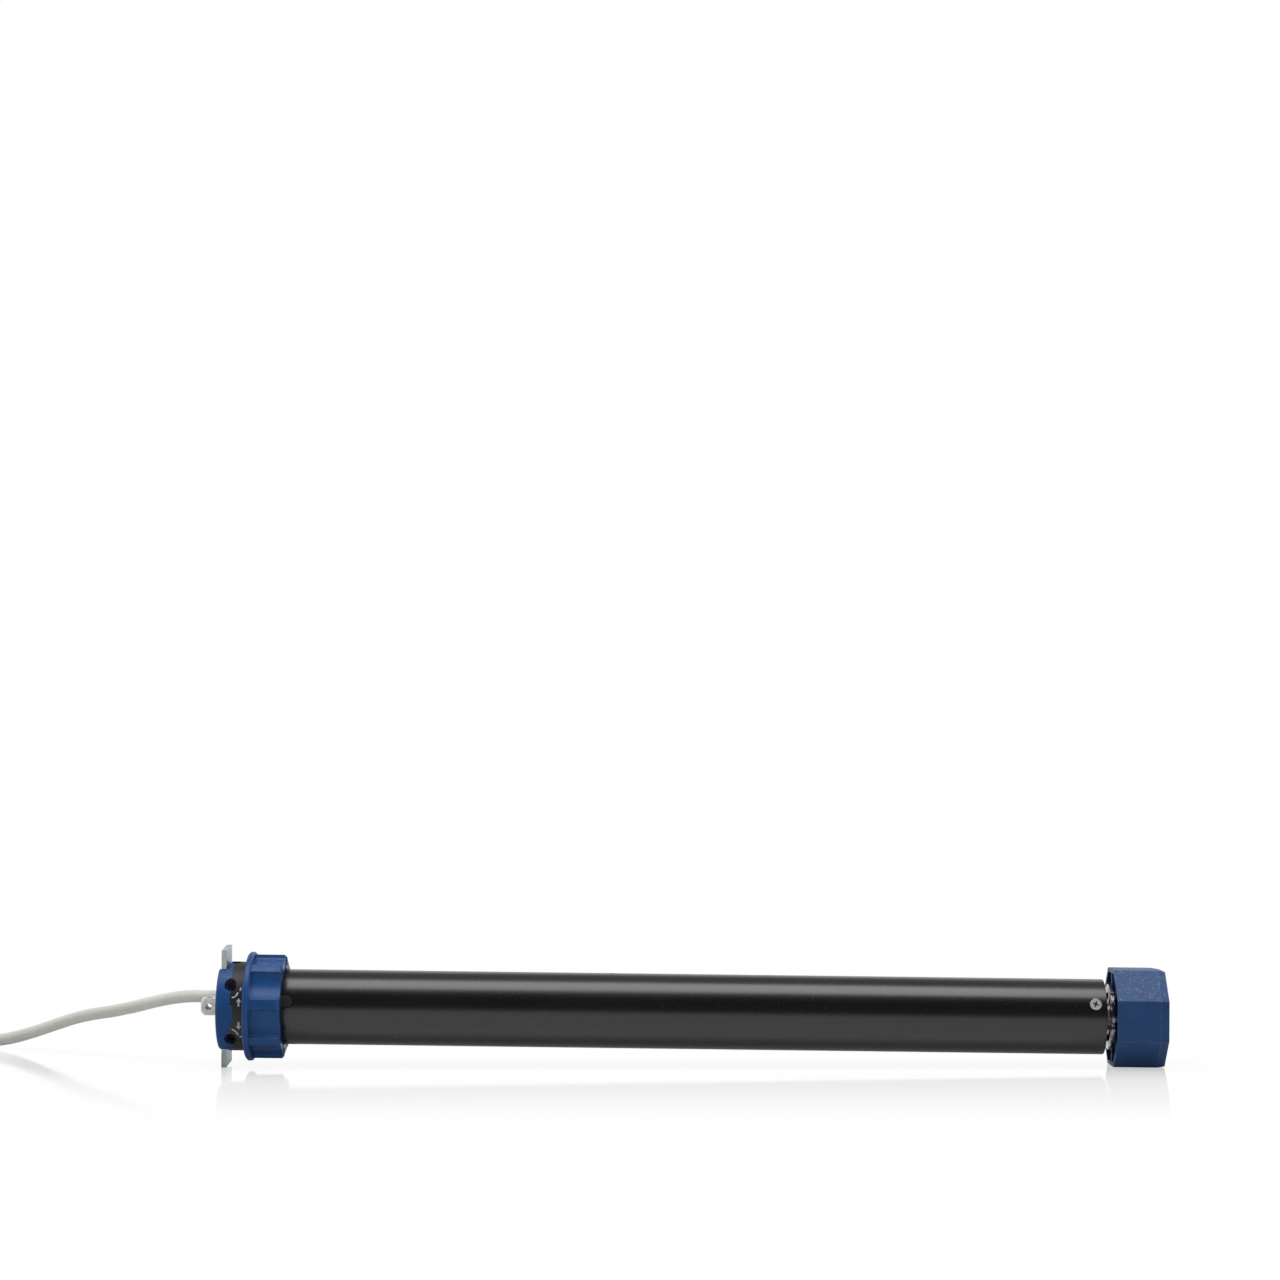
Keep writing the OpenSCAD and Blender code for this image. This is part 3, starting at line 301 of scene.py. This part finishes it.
def plated(name, colour, roughness, warm, radius=0.25, metallic=0.8, relief=0.02, dark=0.6):
    """Zinc plate: a milky metal with bluish and yellowish clouds, a fine rolled grain and a painted highlight on
    the edges.
    """
    made = Finish(name, colour, roughness, metallic=metallic)
    cloud = made.noise(0.22, 4, 0.6)
    rolled = made.noise(1.6, 4, 0.6, (1, 0.25, 0.25))
    tone = made.mix(made.rise(cloud, 0.38, 0.66), shade(colour, 0.8), shade(warm, 1.06))
    tone = made.mix(0.4 * rolled, tone, shade(colour, dark))
    # Painted highlight: a lighter warm tone along the edges
    tone = made.mix(0.7 * made.edges(radius), tone, shade(warm, 1.45))
    made.set("Base Color", tone)
    made.set("Roughness", roughness + 0.25 * (cloud - 0.5) + 0.1 * (rolled - 0.5))
    made.bump(rolled + 0.4 * cloud, relief, radius)
    made.tone = tone
    return made


def darkened(made, share, code):
    """The same finish, with a darker colour where share is 1."""
    made.set("Base Color", made.mix(share, made.tone, linear(code)))
    return made


def stamped_plate():
    """The bracket plate: zinc, with the shear line along the middle of its lower end's front edge."""
    made = plated("zinc_plate", "#a9bfc9", 0.4, "#c4c9bf", metallic=0.6)
    line = made.rise((made.along(1, 0, 0) - shear_x).size(), 0.35, 0.15)
    low = made.rise(made.along(*head_way(0, -1)), 26.5, 27)
    front = low * made.rise(made.along(*head_way(-1, 0)), 10.7, 10.9)
    return darkened(made, 0.85 * line * front, "#463f36")


def screw_with_painted_recess_shade(name, colour, warm, face_r, code):
    """A zinc screw, with painted shade down in the recess of its head."""
    made = plated(name, colour, 0.4, warm, 0.12, metallic=0.5)
    # Painted shade: darker towards the axis, down in the recess
    return darkened(made, made.rise(made.from_axis(), face_r, face_r - 0.5), code)


def turned(name, colour, roughness, rings=3.0, radius=0.15):
    """Turned or ground metal, with fine marks round the motor's axis."""
    made = Finish(name, colour, roughness, metallic=1.0)
    marks = made.noise(rings, 3, 0.6, (1, 0.02, 0.02))
    made.set("Base Color", made.mix(marks, shade(colour, 0.85), shade(colour, 1.12)))
    made.set("Roughness", roughness + 0.2 * (marks - 0.5))
    return made.bump(marks, 0.01, radius)


def painted_tube():
    """Black satin paint on the tube: a fine orange-peel, slow tone changes and a few dust specks."""
    made = Finish("tube_paint", "#0f1010", 0.27, specular_ior_level=0.65)
    peel = made.noise(0.9, 3, 0.55)
    slow = made.noise(0.012, 2, 0.5, (1, 3, 3))
    speck = made.rise(made.noise(1.3, 0), 0.78, 0.83)
    tone = made.mix(slow, shade("#0f1010", 0.8), shade("#0f1010", 1.25))
    made.set("Base Color", made.mix(speck * 0.3, tone, linear("#6d6f72")))
    made.set("Roughness", 0.27 + 0.05 * (slow - 0.5))
    return made.bump(peel, 0.0003, 0.25)


def sheath(name, colour):
    """Soft cord sheath: matt, slightly uneven, with faint marks along it."""
    made = Finish(name, colour, 0.55, specular_ior_level=0.3)
    slow = made.noise(0.05, 3)
    fine = made.noise(1.2, 3)
    scuff = made.rise(made.noise(0.3, 4, 0.7), 0.62, 0.72)
    tone = made.mix(made.rise(slow, 0.3, 0.7), shade(colour, 0.94), shade(colour, 1.04))
    tone = made.mix(scuff * 0.3, tone, shade(colour, 0.7))
    made.set("Base Color", made.mix(made.rise(fine, 0.6, 0.8, 0, 0.25), tone, shade(colour, 0.86)))
    made.set("Roughness", 0.55 + 0.15 * (fine - 0.5))
    return made.bump(fine + 2 * slow, 0.03)


def laminated():
    """A stack of thin steel sheets, seen on its edges."""
    made = Finish("laminations", "#84878a", 0.5, metallic=1.0)
    sheets = made.noise(2.2, 2, 0.5, (1, 0.01, 0.01))
    made.set("Base Color", made.mix(sheets, shade("#84878a", 0.6), shade("#84878a", 1.2)))
    made.set("Roughness", 0.42 + 0.2 * sheets)
    return made.bump(sheets, 0.05, 0.1)


def wound_copper():
    """Enamelled wire laid in the slots and round the ends."""
    made = Finish("copper_wire", "#9a5325", 0.35, metallic=0.85)
    wires = made.noise(1.5, 2, 0.5, (0.15, 1, 1))
    made.set("Base Color", made.mix(wires, linear("#5e2d12"), linear("#c0733a")))
    made.set("Roughness", 0.3 + 0.25 * wires)
    return made.bump(wires, 0.25)


finishes = {
    "blue_plastic": moulded("head_blue", "#0e4580", 0.45, 1.6, 0.02, 0.35, dust=0.4, scratch=0.4, level=0.24,
                            edge_wear_and_highlight=0.4, veil=0.08),
    "wheel_plastic": moulded("wheel_blue", "#1b4476", 0.48, 1.5, 0.03, 0.3, dust=1.5, scratch=0.5, level=0.27,
                             edge_wear_and_highlight=0.6, veil=0.12, wear_and_highlight_line_x=taper_x),
    "black_plastic": moulded("head_black", "#1d1d1e", 0.5, 1.8, 0.02, 0.2, dust=0.08),
    "tube_steel": painted_tube(),
    "zinc_plate": stamped_plate(),
    "screw_steel": plated("screw_zinc", "#a9a8a3", 0.34, "#b5b1a5", 0.12),
    "cord_sheath": sheath("cord_sheath", "#e0dfd8"),
    "core_insulation": sheath("core_insulation", "#35588f"),
    "ferrules": turned("ferrule_tin", "#c8cacc", 0.25),
    "white_plastic": moulded("limit_white", "#e4e2d9", 0.5, 1.5, 0.02, 0.15),
    "switch_black": moulded("switch_black", "#1f2226", 0.5, 1.5, 0.02, 0.15),
    "brass": turned("brass", "#c9a24a", 0.28),
    "up_purple": moulded("up_purple", "#55284f", 0.45, 1.5, 0.02, 0.2, level=0.25),
    "down_dark_blue": moulded("down_dark_blue", "#0b1220", 0.5, 1.5, 0.02, 0.2, level=0.2),
    "capacitor_can": turned("capacitor_can", "#d6d7d8", 0.3, 1.0),
    "cast_alloy": plated("cast_alloy", "#a2a6a9", 0.5, "#b0b1ae"),
    "laminations": laminated(),
    "copper": wound_copper(),
    "steel": turned("steel", "#bfc1c2", 0.3),
    "friction_lining": moulded("friction_lining", "#5b5148", 0.8, 1.2, 0.1, 0.2),
    "planet_plastic": moulded("planet_plastic", "#c7a65a", 0.4, 1.5, 0.02, 0.1),
    "planet_steel": turned("planet_steel", "#b5b7b8", 0.3),
}
slot_of = {part["node"]: part["material_slot"] for part in frame["record"]["subparts"]}
for node, piece in frame["nodes"].items():
    piece.data.materials.clear()
    piece.data.materials.append(finishes[slot_of[node]].material)


def dress(finish, *nodes):
    """Gives CAD nodes a finish of their own."""
    for node in nodes:
        frame["nodes"][node].data.materials[0] = finish.material


dress(moulded("crown_blue", "#0e4580", 0.42, 1.6, 0.02, 0.35, dust=0.4, scratch=0.5, level=0.3,
              edge_wear_and_highlight=0.5, veil=0.05, scoop=2.0), "crown_ring")
dress(plated("stud_steel", "#e9ebe8", 0.42, "#ebeae5", metallic=0.35), "square_stud")
dress(plated("flange_zinc", "#a8a1a4", 0.16, "#c6bec2", metallic=1.0, relief=0.12, dark=0.3), "output_flange")
dress(screw_with_painted_recess_shade("screw_cross", "#d4d3cf", "#d9d6cd", tube_r - 0.4, "#3a3028"), "tube_screws")
dress(turned("shaft_steel", "#8c8e8f", 0.38), "output_shaft")
dress(plated("rivet_zinc", "#8d7f63", 0.4, "#a5987c", 0.12), "stator_rivets")


# The cord: its visible run, then the coil in two layers and the straight tail
cord_route = [(-5.5, 17, 4), (-13, 17, 4), (-21, 19.5, 3.8), (-29, 24, 2.8), (-38, 30, 1),
              (-48, 37, -1.6), (-58, 44.5, -4.6), (-68, 51.5, -7.3), (-78, 58.5, -9.7), (-90, 67, -12.2),
              (-103, 76, -15.6), (-118, 85, -20.8), (-134, 93, -26.6), (-151, 100, -31.6),
              (-168, 104.8, -34), (-185, 107.6, -34.5), (-202, 108.9, -34.3), (-212, 109, -34.3),
              (-221, 109, -34.4)]
coil_turns = 3.625
coil_in_r = 30
coil_pitch = cord_d + 0.6
coil_out_r = coil_in_r + coil_pitch * coil_turns
coil_rise = cord_d + 0.5
turn_steps = 24
tail_len, tail_drop, tail_step = 78, 44, 13


def smooth(t):
    t = min(1, max(0, t))
    return t * t * (3 - 2 * t)


def coil_points():
    """The coil in its own level frame: inward in the lower layer, outward in the upper one."""
    for step in range(round(2 * coil_turns * turn_steps) + 1):
        turn = step / turn_steps
        r = coil_in_r + coil_pitch * abs(turn - coil_turns)
        a = pi / 2 + 2 * pi * turn
        yield Vector((r * cos(a), r * sin(a), coil_rise * smooth(2 * (turn - coil_turns) + 0.5)))
    for y in range(tail_step, tail_len + 1, tail_step):
        yield Vector((-coil_out_r, -y, coil_rise * (1 - smooth((y - tail_step) / tail_drop))))


def cord_points():
    """The whole cord's middle line, in metres."""
    end = Vector(cord_route[-1])
    lie = Matrix.Rotation(-rest_tilt, 3, "Y")
    coil = [end + lie @ (Vector((-cord_d, -coil_out_r, 0)) + p) for p in coil_points()]
    return [Vector(p) * mm for p in cord_route] + [p * mm for p in coil]


rest_tilt = atan(surface_tilt)
cord_line = cord_points()
cord_length = sum((b - a).length for a, b in zip(cord_line, cord_line[1:]))


def make_cord():
    curve = bpy.data.curves.new("cord", "CURVE")
    curve.dimensions = "3D"
    curve.bevel_depth = cord_d / 2 * mm
    curve.bevel_resolution = 8
    curve.resolution_u = 3
    curve.use_fill_caps = True
    line = curve.splines.new("BEZIER")
    line.bezier_points.add(len(cord_line) - 1)
    for point, place in zip(line.bezier_points, cord_line):
        point.co = place
        point.handle_left_type = point.handle_right_type = "AUTO"
    curve.materials.append(finishes["cord_sheath"].material)
    cord = bpy.data.objects.new("cord", curve)
    bpy.context.scene.collection.objects.link(cord)
    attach(cord, "motor")
    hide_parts("cable_run", "cable_coil")


make_cord()


# The tube, finer than its solid, with the slots and holes of the solid
tube_start, tube_end = 37.0, 531.8
tube_wall, lip = 1.2, 0.3
slot_w, slot_len, tongue_angle = 8.3, 9.1, 18.7
screw_x, screw_angle, screw_head_r, screw_r, screw_sink = 525.0, 24.4, 3.6, 1.95, 0.25
rivet_x, rivet_r = 236.0, 1.65
tube_sides = 288


def lathe(mesh, profile, sides):
    """Turns a closed outline of points (x, r) round the motor's axis."""
    rings = []
    for k in range(sides):
        a = 2 * pi * k / sides
        rings.append([mesh.verts.new(Vector((x, -r * cos(a), r * sin(a))) * mm) for x, r in profile])
    for near, far in zip(rings, rings[1:] + rings[:1]):
        for i in range(len(profile)):
            j = (i + 1) % len(profile)
            mesh.faces.new((near[i], near[j], far[j], far[i]))


def plug(mesh, outline, low, high, angle):
    """A cutter at an angle: an outline of points (x, side), from low to high. Each of these is a
    distance from the axis and the factor by which the outline grows there."""
    a = radians(angle)
    out, side = Vector((0, -cos(a), sin(a))), Vector((0, sin(a), cos(a)))
    ends = []
    for r, grow in (low, high):
        middle = sum(x for x, _ in outline) / len(outline)
        places = [Vector((middle + (x - middle) * grow, 0, 0)) + side * s * grow + out * r
                  for x, s in outline]
        ends.append([mesh.verts.new(place * mm) for place in places])
    mesh.faces.new(ends[0])
    mesh.faces.new(ends[1][::-1])
    for i in range(len(outline)):
        j = (i + 1) % len(outline)
        mesh.faces.new((ends[0][j], ends[0][i], ends[1][i], ends[1][j]))


def arc(x, side, r, start, stop, steps):
    angles = [radians(start + (stop - start) * k / steps) for k in range(steps + 1)]
    return [(x + r * cos(a), side + r * sin(a)) for a in angles]


def make_tube():
    mesh = bmesh.new()
    outer, inner = [], tube_r - tube_wall
    for k in range(4):
        a = radians(30 * k)
        outer.append((tube_start + lip * (1 - sin(a)), tube_r - lip * (1 - cos(a))))
    outer = outer[::-1]
    outer += [(tube_start + tube_end - x, r) for x, r in outer[::-1]]
    lathe(mesh, outer + [(tube_end, inner), (tube_start, inner)], tube_sides)
    bmesh.ops.recalc_face_normals(mesh, faces=mesh.faces)
    tube = shape_from("tube", mesh)
    holes = bmesh.new()
    half, round_x = slot_w / 2, tube_start + slot_len - slot_w / 2
    slot = [(tube_start - 1, -half)] + arc(round_x, 0, half, -90, 90, 16) + [(tube_start - 1, half)]
    for k in range(4):
        plug(holes, slot, (inner - 1, 1), (tube_r + 1, 1), tongue_angle - head_roll + 90 * k)
    round_hole = arc(0, 0, 1, 0, 345, 23)
    for k in range(3):
        ring = [(screw_x + x * screw_r, s * screw_r) for x, s in round_hole]
        face = tube_r - screw_sink
        plug(holes, ring, (face - 1.6, 1), (face, screw_head_r / screw_r), screw_angle + 120 * k)
        plug(holes, ring, (face - 0.001, screw_head_r / screw_r),
             (tube_r + 1, screw_head_r / screw_r), screw_angle + 120 * k)
        plug(holes, ring, (inner - 1, 1), (face - 1.5, 1), screw_angle + 120 * k)
    for angle in (90, -90):
        ring = [(rivet_x + x * rivet_r, s * rivet_r) for x, s in round_hole]
        plug(holes, ring, (inner - 1, 1), (tube_r + 1, 1), angle)
    bmesh.ops.recalc_face_normals(holes, faces=holes.faces)
    cutter = shape_from("tube_cutter", holes)
    cut = tube.modifiers.new("holes", "BOOLEAN")
    cut.object, cut.operation, cut.solver, cut.use_self = cutter, "DIFFERENCE", "EXACT", True
    whole = bpy.data.meshes.new_from_object(tube.evaluated_get(bpy.context.evaluated_depsgraph_get()))
    tube.modifiers.clear()
    tube.data = whole
    bpy.data.objects.remove(cutter)
    whole.materials.clear()
    whole.materials.append(finishes["tube_steel"].material)
    whole.shade_smooth()
    whole.set_sharp_from_angle(angle=radians(32))
    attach(tube, "motor")
    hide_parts("motor_tube")


def shape_from(name, mesh):
    data = bpy.data.meshes.new(name)
    mesh.to_mesh(data)
    mesh.free()
    piece = bpy.data.objects.new(name, data)
    bpy.context.scene.collection.objects.link(piece)
    return piece


make_tube()


# The brake's spring, finer than its solid
spring_r, spring_wire, spring_coils = 9.5, 1.32, 4
spring_room = 0.6
wire_steps, wire_sides = 32, 16


def make_spring():
    low, high = (corner[0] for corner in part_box("brake_spring"))
    run = high - low - 2 * spring_room * mm
    mesh = bmesh.new()
    rings = []
    for k in range(spring_coils * wire_steps + 1):
        a = 2 * pi * k / wire_steps
        out, on = Vector((0, cos(a), sin(a))), Vector((1, 0, 0))
        middle = on * (low + spring_room * mm + run * k / (spring_coils * wire_steps)) + out * spring_r * mm
        turns = [2 * pi * i / wire_sides for i in range(wire_sides)]
        rings.append([mesh.verts.new(middle + (out * cos(b) + on * sin(b)) * spring_wire / 2 * mm)
                      for b in turns])
    for near, far in zip(rings, rings[1:]):
        for i in range(wire_sides):
            j = (i + 1) % wire_sides
            mesh.faces.new((near[i], near[j], far[j], far[i]))
    mesh.faces.new(rings[0])
    mesh.faces.new(rings[-1])
    bmesh.ops.recalc_face_normals(mesh, faces=mesh.faces)
    spring = shape_from("spring_wire", mesh)
    spring.data.materials.append(finishes["steel"].material)
    spring.data.shade_smooth()
    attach(spring, "motor")
    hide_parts("brake_spring")
    release = [joint for joint in frame["joints"] if joint["name"] == "brake_release"][0]
    travel = max(abs(end) for end in release["range_m"])
    1 - travel / (high - low)
    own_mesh(spring)


make_spring()


# Marks printed on the black ring: which way each screw turns, and what it sets
mark_r = head_r + 0.03
point_len, point_half = 4.6, 1.65   # of a block arrow's point, in degrees and in millimetres


def on_ring(x, angle, r=mark_r):
    """A point on the ring, from its distance along the axis and its angle above the front."""
    a = radians(angle)
    return Vector((x, -r * cos(a), r * sin(a))) * mm


def ribbon(name, line, width):
    """A printed stroke along points (x, angle) on the ring, as a thin band of faces."""
    mesh = bmesh.new()
    degree = radians(1) * mark_r
    flat = [Vector((x, a * degree)) for x, a in line]
    rows = []
    for i, p in enumerate(flat):
        along = (flat[min(i + 1, len(flat) - 1)] - flat[max(i - 1, 0)]).normalized()
        side = Vector((-along.y, along.x)) * width / 2
        rows.append([mesh.verts.new(on_ring(q.x, q.y / degree)) for q in (p - side, p + side)])
    for a, b in zip(rows, rows[1:]):
        mesh.faces.new((a[0], a[1], b[1], b[0]))
    return finish_mark(name, mesh)


def spot(name, corners):
    """A printed patch with the given corners (x, angle)."""
    mesh = bmesh.new()
    mesh.faces.new([mesh.verts.new(on_ring(x, a)) for x, a in corners])
    return finish_mark(name, mesh)


def finish_mark(name, mesh):
    data = bpy.data.meshes.new(name)
    bmesh.ops.recalc_face_normals(mesh, faces=mesh.faces)
    mesh.to_mesh(data)
    mesh.free()
    data.materials.append(print_white.material)
    mark = bpy.data.objects.new(name, data)
    bpy.context.scene.collection.objects.link(mark)
    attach(mark, "motor")
    return mark


print_white = Finish("print_white", "#b9bcbf", 0.5)
worn = print_white.noise(1.3, 3)
print_white.set("Base Color", print_white.mix(print_white.rise(worn, 0.4, 0.8, 0, 0.5), linear("#c6c9cc"),
                                               linear("#77797c")))
print_white.bump(worn, 0.01)


def arrow(name, x, start, end):
    """A block arrow round the ring, its point at the end angle."""
    way = 1 if end > start else -1
    neck = end - way * point_len
    barb = neck - way * 0.6
    steps = 4
    shaft = neck + way * 0.4 - start
    ribbon(name + "_shaft", [(x, start + shaft * k / steps) for k in range(steps + 1)], 1.0)
    spot(name + "_head", [(x - point_half, barb), (x, end), (x + point_half, barb),
                          (x, neck + way * 0.2)])


def curl(name, points):
    """A curved arrow through three places (x, angle), by a parabola, with a slim head at its end."""
    (x0, a0), (x1, a1), (x2, a2) = points
    line = []
    for k in range(9):
        t = k / 8
        u = 1 - t
        line.append((u * u * x0 + 2 * u * t * x1 + t * t * x2,
                     u * u * a0 + 2 * u * t * a1 + t * t * a2))
    ribbon(name, line, 0.8)
    degree = radians(1) * mark_r
    tip = Vector((x2, a2 * degree))
    back = (Vector((line[5][0], line[5][1] * degree)) - tip).normalized()
    side = Vector((-back.y, back.x))
    barb, wide = tip + 1.9 * back, 0.75 * side
    corners = (tip - 0.4 * back, barb + wide, tip + 1.4 * back, barb - wide)
    spot(name + "_head", [(p.x, p.y / degree) for p in corners])


arrow("up_arrow", 14.0, 4.2, 14.9)
arrow("down_arrow", 14.0, -15.8, -26.4)
curl("up_curl", [(9.8, 15.6), (12.6, 16.0), (13.2, 22.4)])
ribbon("minus", [(14.4, 24.6), (14.7, 26.8), (15.0, 29.0)], 0.75)
curl("down_curl", [(9.8, -26.4), (12.3, -27.6), (13.4, -35.0)])
ribbon("plus_across", [(14.1, -38.0), (15.6, -38.0)], 0.65)
ribbon("plus_up", [(14.85, -36.5), (14.85, -39.5)], 0.65)


# Stage: a white floor that carries a faint mirror image and a faint shadow, and soft light from above
def seen(tree):
    """1 for rays that show the background: to the camera, off gloss and through glass."""
    camera, gloss, through = (tree.node("ShaderNodeLightPath", output=f"Is {kind} Ray")
                              for kind in ("Camera", "Glossy", "Transmission"))
    return camera.most(through), gloss


floor_half = 6.0                    # in metres
floor_gap = 0.02
shadow_share, gloss_shadow = 0.12, 0.85
shadow_out, shadow_full = 520, 120  # distance from the object's middle at which the shade ends
mirror_share, mirror_blur = 0.75, 0.07


def make_floor():
    half = floor_half
    mesh = bpy.data.meshes.new("floor")
    corners = [(-half, -half, 0), (half, -half, 0), (half, half, 0), (-half, half, 0)]
    mesh.from_pydata(corners, [], [(0, 1, 2, 3)])
    floor = bpy.data.objects.new("floor", mesh)
    bpy.context.scene.collection.objects.link(floor)
    floor.rotation_euler = (0, -rest_tilt, 0)
    floor.location = (0, 0, (surface(0) - floor_gap) * mm)
    white = Finish("floor_white", "#ffffff", 0.9, specular_ior_level=0.0)
    lit = Wire(white, white.shader.outputs[0])
    unseen = white.node("ShaderNodeBsdfDiffuse", {}, {"Color": (0.5, 0.5, 0.5, 1)})
    bare = white.node("ShaderNodeEmission", {}, {"Color": (1, 1, 1, 1), "Strength": 1.0})
    mirror = white.node("ShaderNodeBsdfGlossy", {}, {"Color": (1, 1, 1, 1), "Roughness": mirror_blur})
    away = white.node("ShaderNodeVectorMath", {"operation": "LENGTH"},
                      [white.node("ShaderNodeVectorMath", {"operation": "MULTIPLY_ADD"},
                                  [white.point, (600, 1000, 0), (-170, 0, 0)])], "Value")
    camera, gloss = seen(white)
    shade_share = shadow_share + (gloss_shadow - shadow_share) * gloss
    shown = white.mix_shader(white.rise(away, shadow_out, shadow_full) * shade_share, bare, lit)
    steep = white.node("ShaderNodeFresnel", {}, {"IOR": 1.45})
    aside = white.along(0, 1, 0).size()
    near = 0.55 * white.rise(aside, 300, 0) + 0.45 * white.rise(aside, 90, 0)
    shown = white.mix_shader(mirror_share * steep * near, shown, mirror)
    white.show(white.mix_shader(camera.most(gloss), unseen, shown))
    mesh.materials.append(white.material)


make_floor()


side_light, top_light = 0.8, 0.1
gloss_ceiling, gloss_viewer = 0.3, 0.05   # what gloss finds overhead, and on the viewer's side


def make_world():
    """White wherever it is seen, up to the dark ceiling. Gloss finds the room dark on the viewer's side."""
    world = bpy.data.worlds.new("studio")
    bpy.context.scene.world = world
    room = NodeTree(world)
    way = room.node("ShaderNodeTexCoord", output="Generated")
    height = room.dot(way, (0, 0, 1))
    dim = room.rise(room.dot(way, (0, -1, 0)), 0.2, 0.6)
    mirrored = room.rise(height, 0.4, 0.7, 1.0, gloss_ceiling) * (1 - (1 - gloss_viewer) * dim)
    light = room.rise(height, 0.1, 0.8, side_light, top_light)
    camera, gloss = seen(room)
    strength = camera + (1 - camera) * (gloss * mirrored + (1 - gloss) * light)
    room.feed(room.tree.nodes["Background"].inputs["Color"], (1, 1, 1, 1))
    room.feed(room.tree.nodes["Background"].inputs["Strength"], strength)


make_world()


def softbox(name, place, aim, width, depth, power):
    lamp = bpy.data.lights.new(name, "AREA")
    lamp.shape = "RECTANGLE"
    lamp.size, lamp.size_y = width, depth
    lamp.energy = power
    box = bpy.data.objects.new(name, lamp)
    box.location = place
    box.rotation_euler = (Vector(aim) - Vector(place)).to_track_quat("-Z", "Y").to_euler()
    bpy.context.scene.collection.objects.link(box)


softbox("top_softbox", place=(0.22, -0.18, 1.3), aim=(0.22, 0, 0), width=1.9, depth=0.8, power=18.8)

bpy.context.scene.view_settings.view_transform = "Standard"
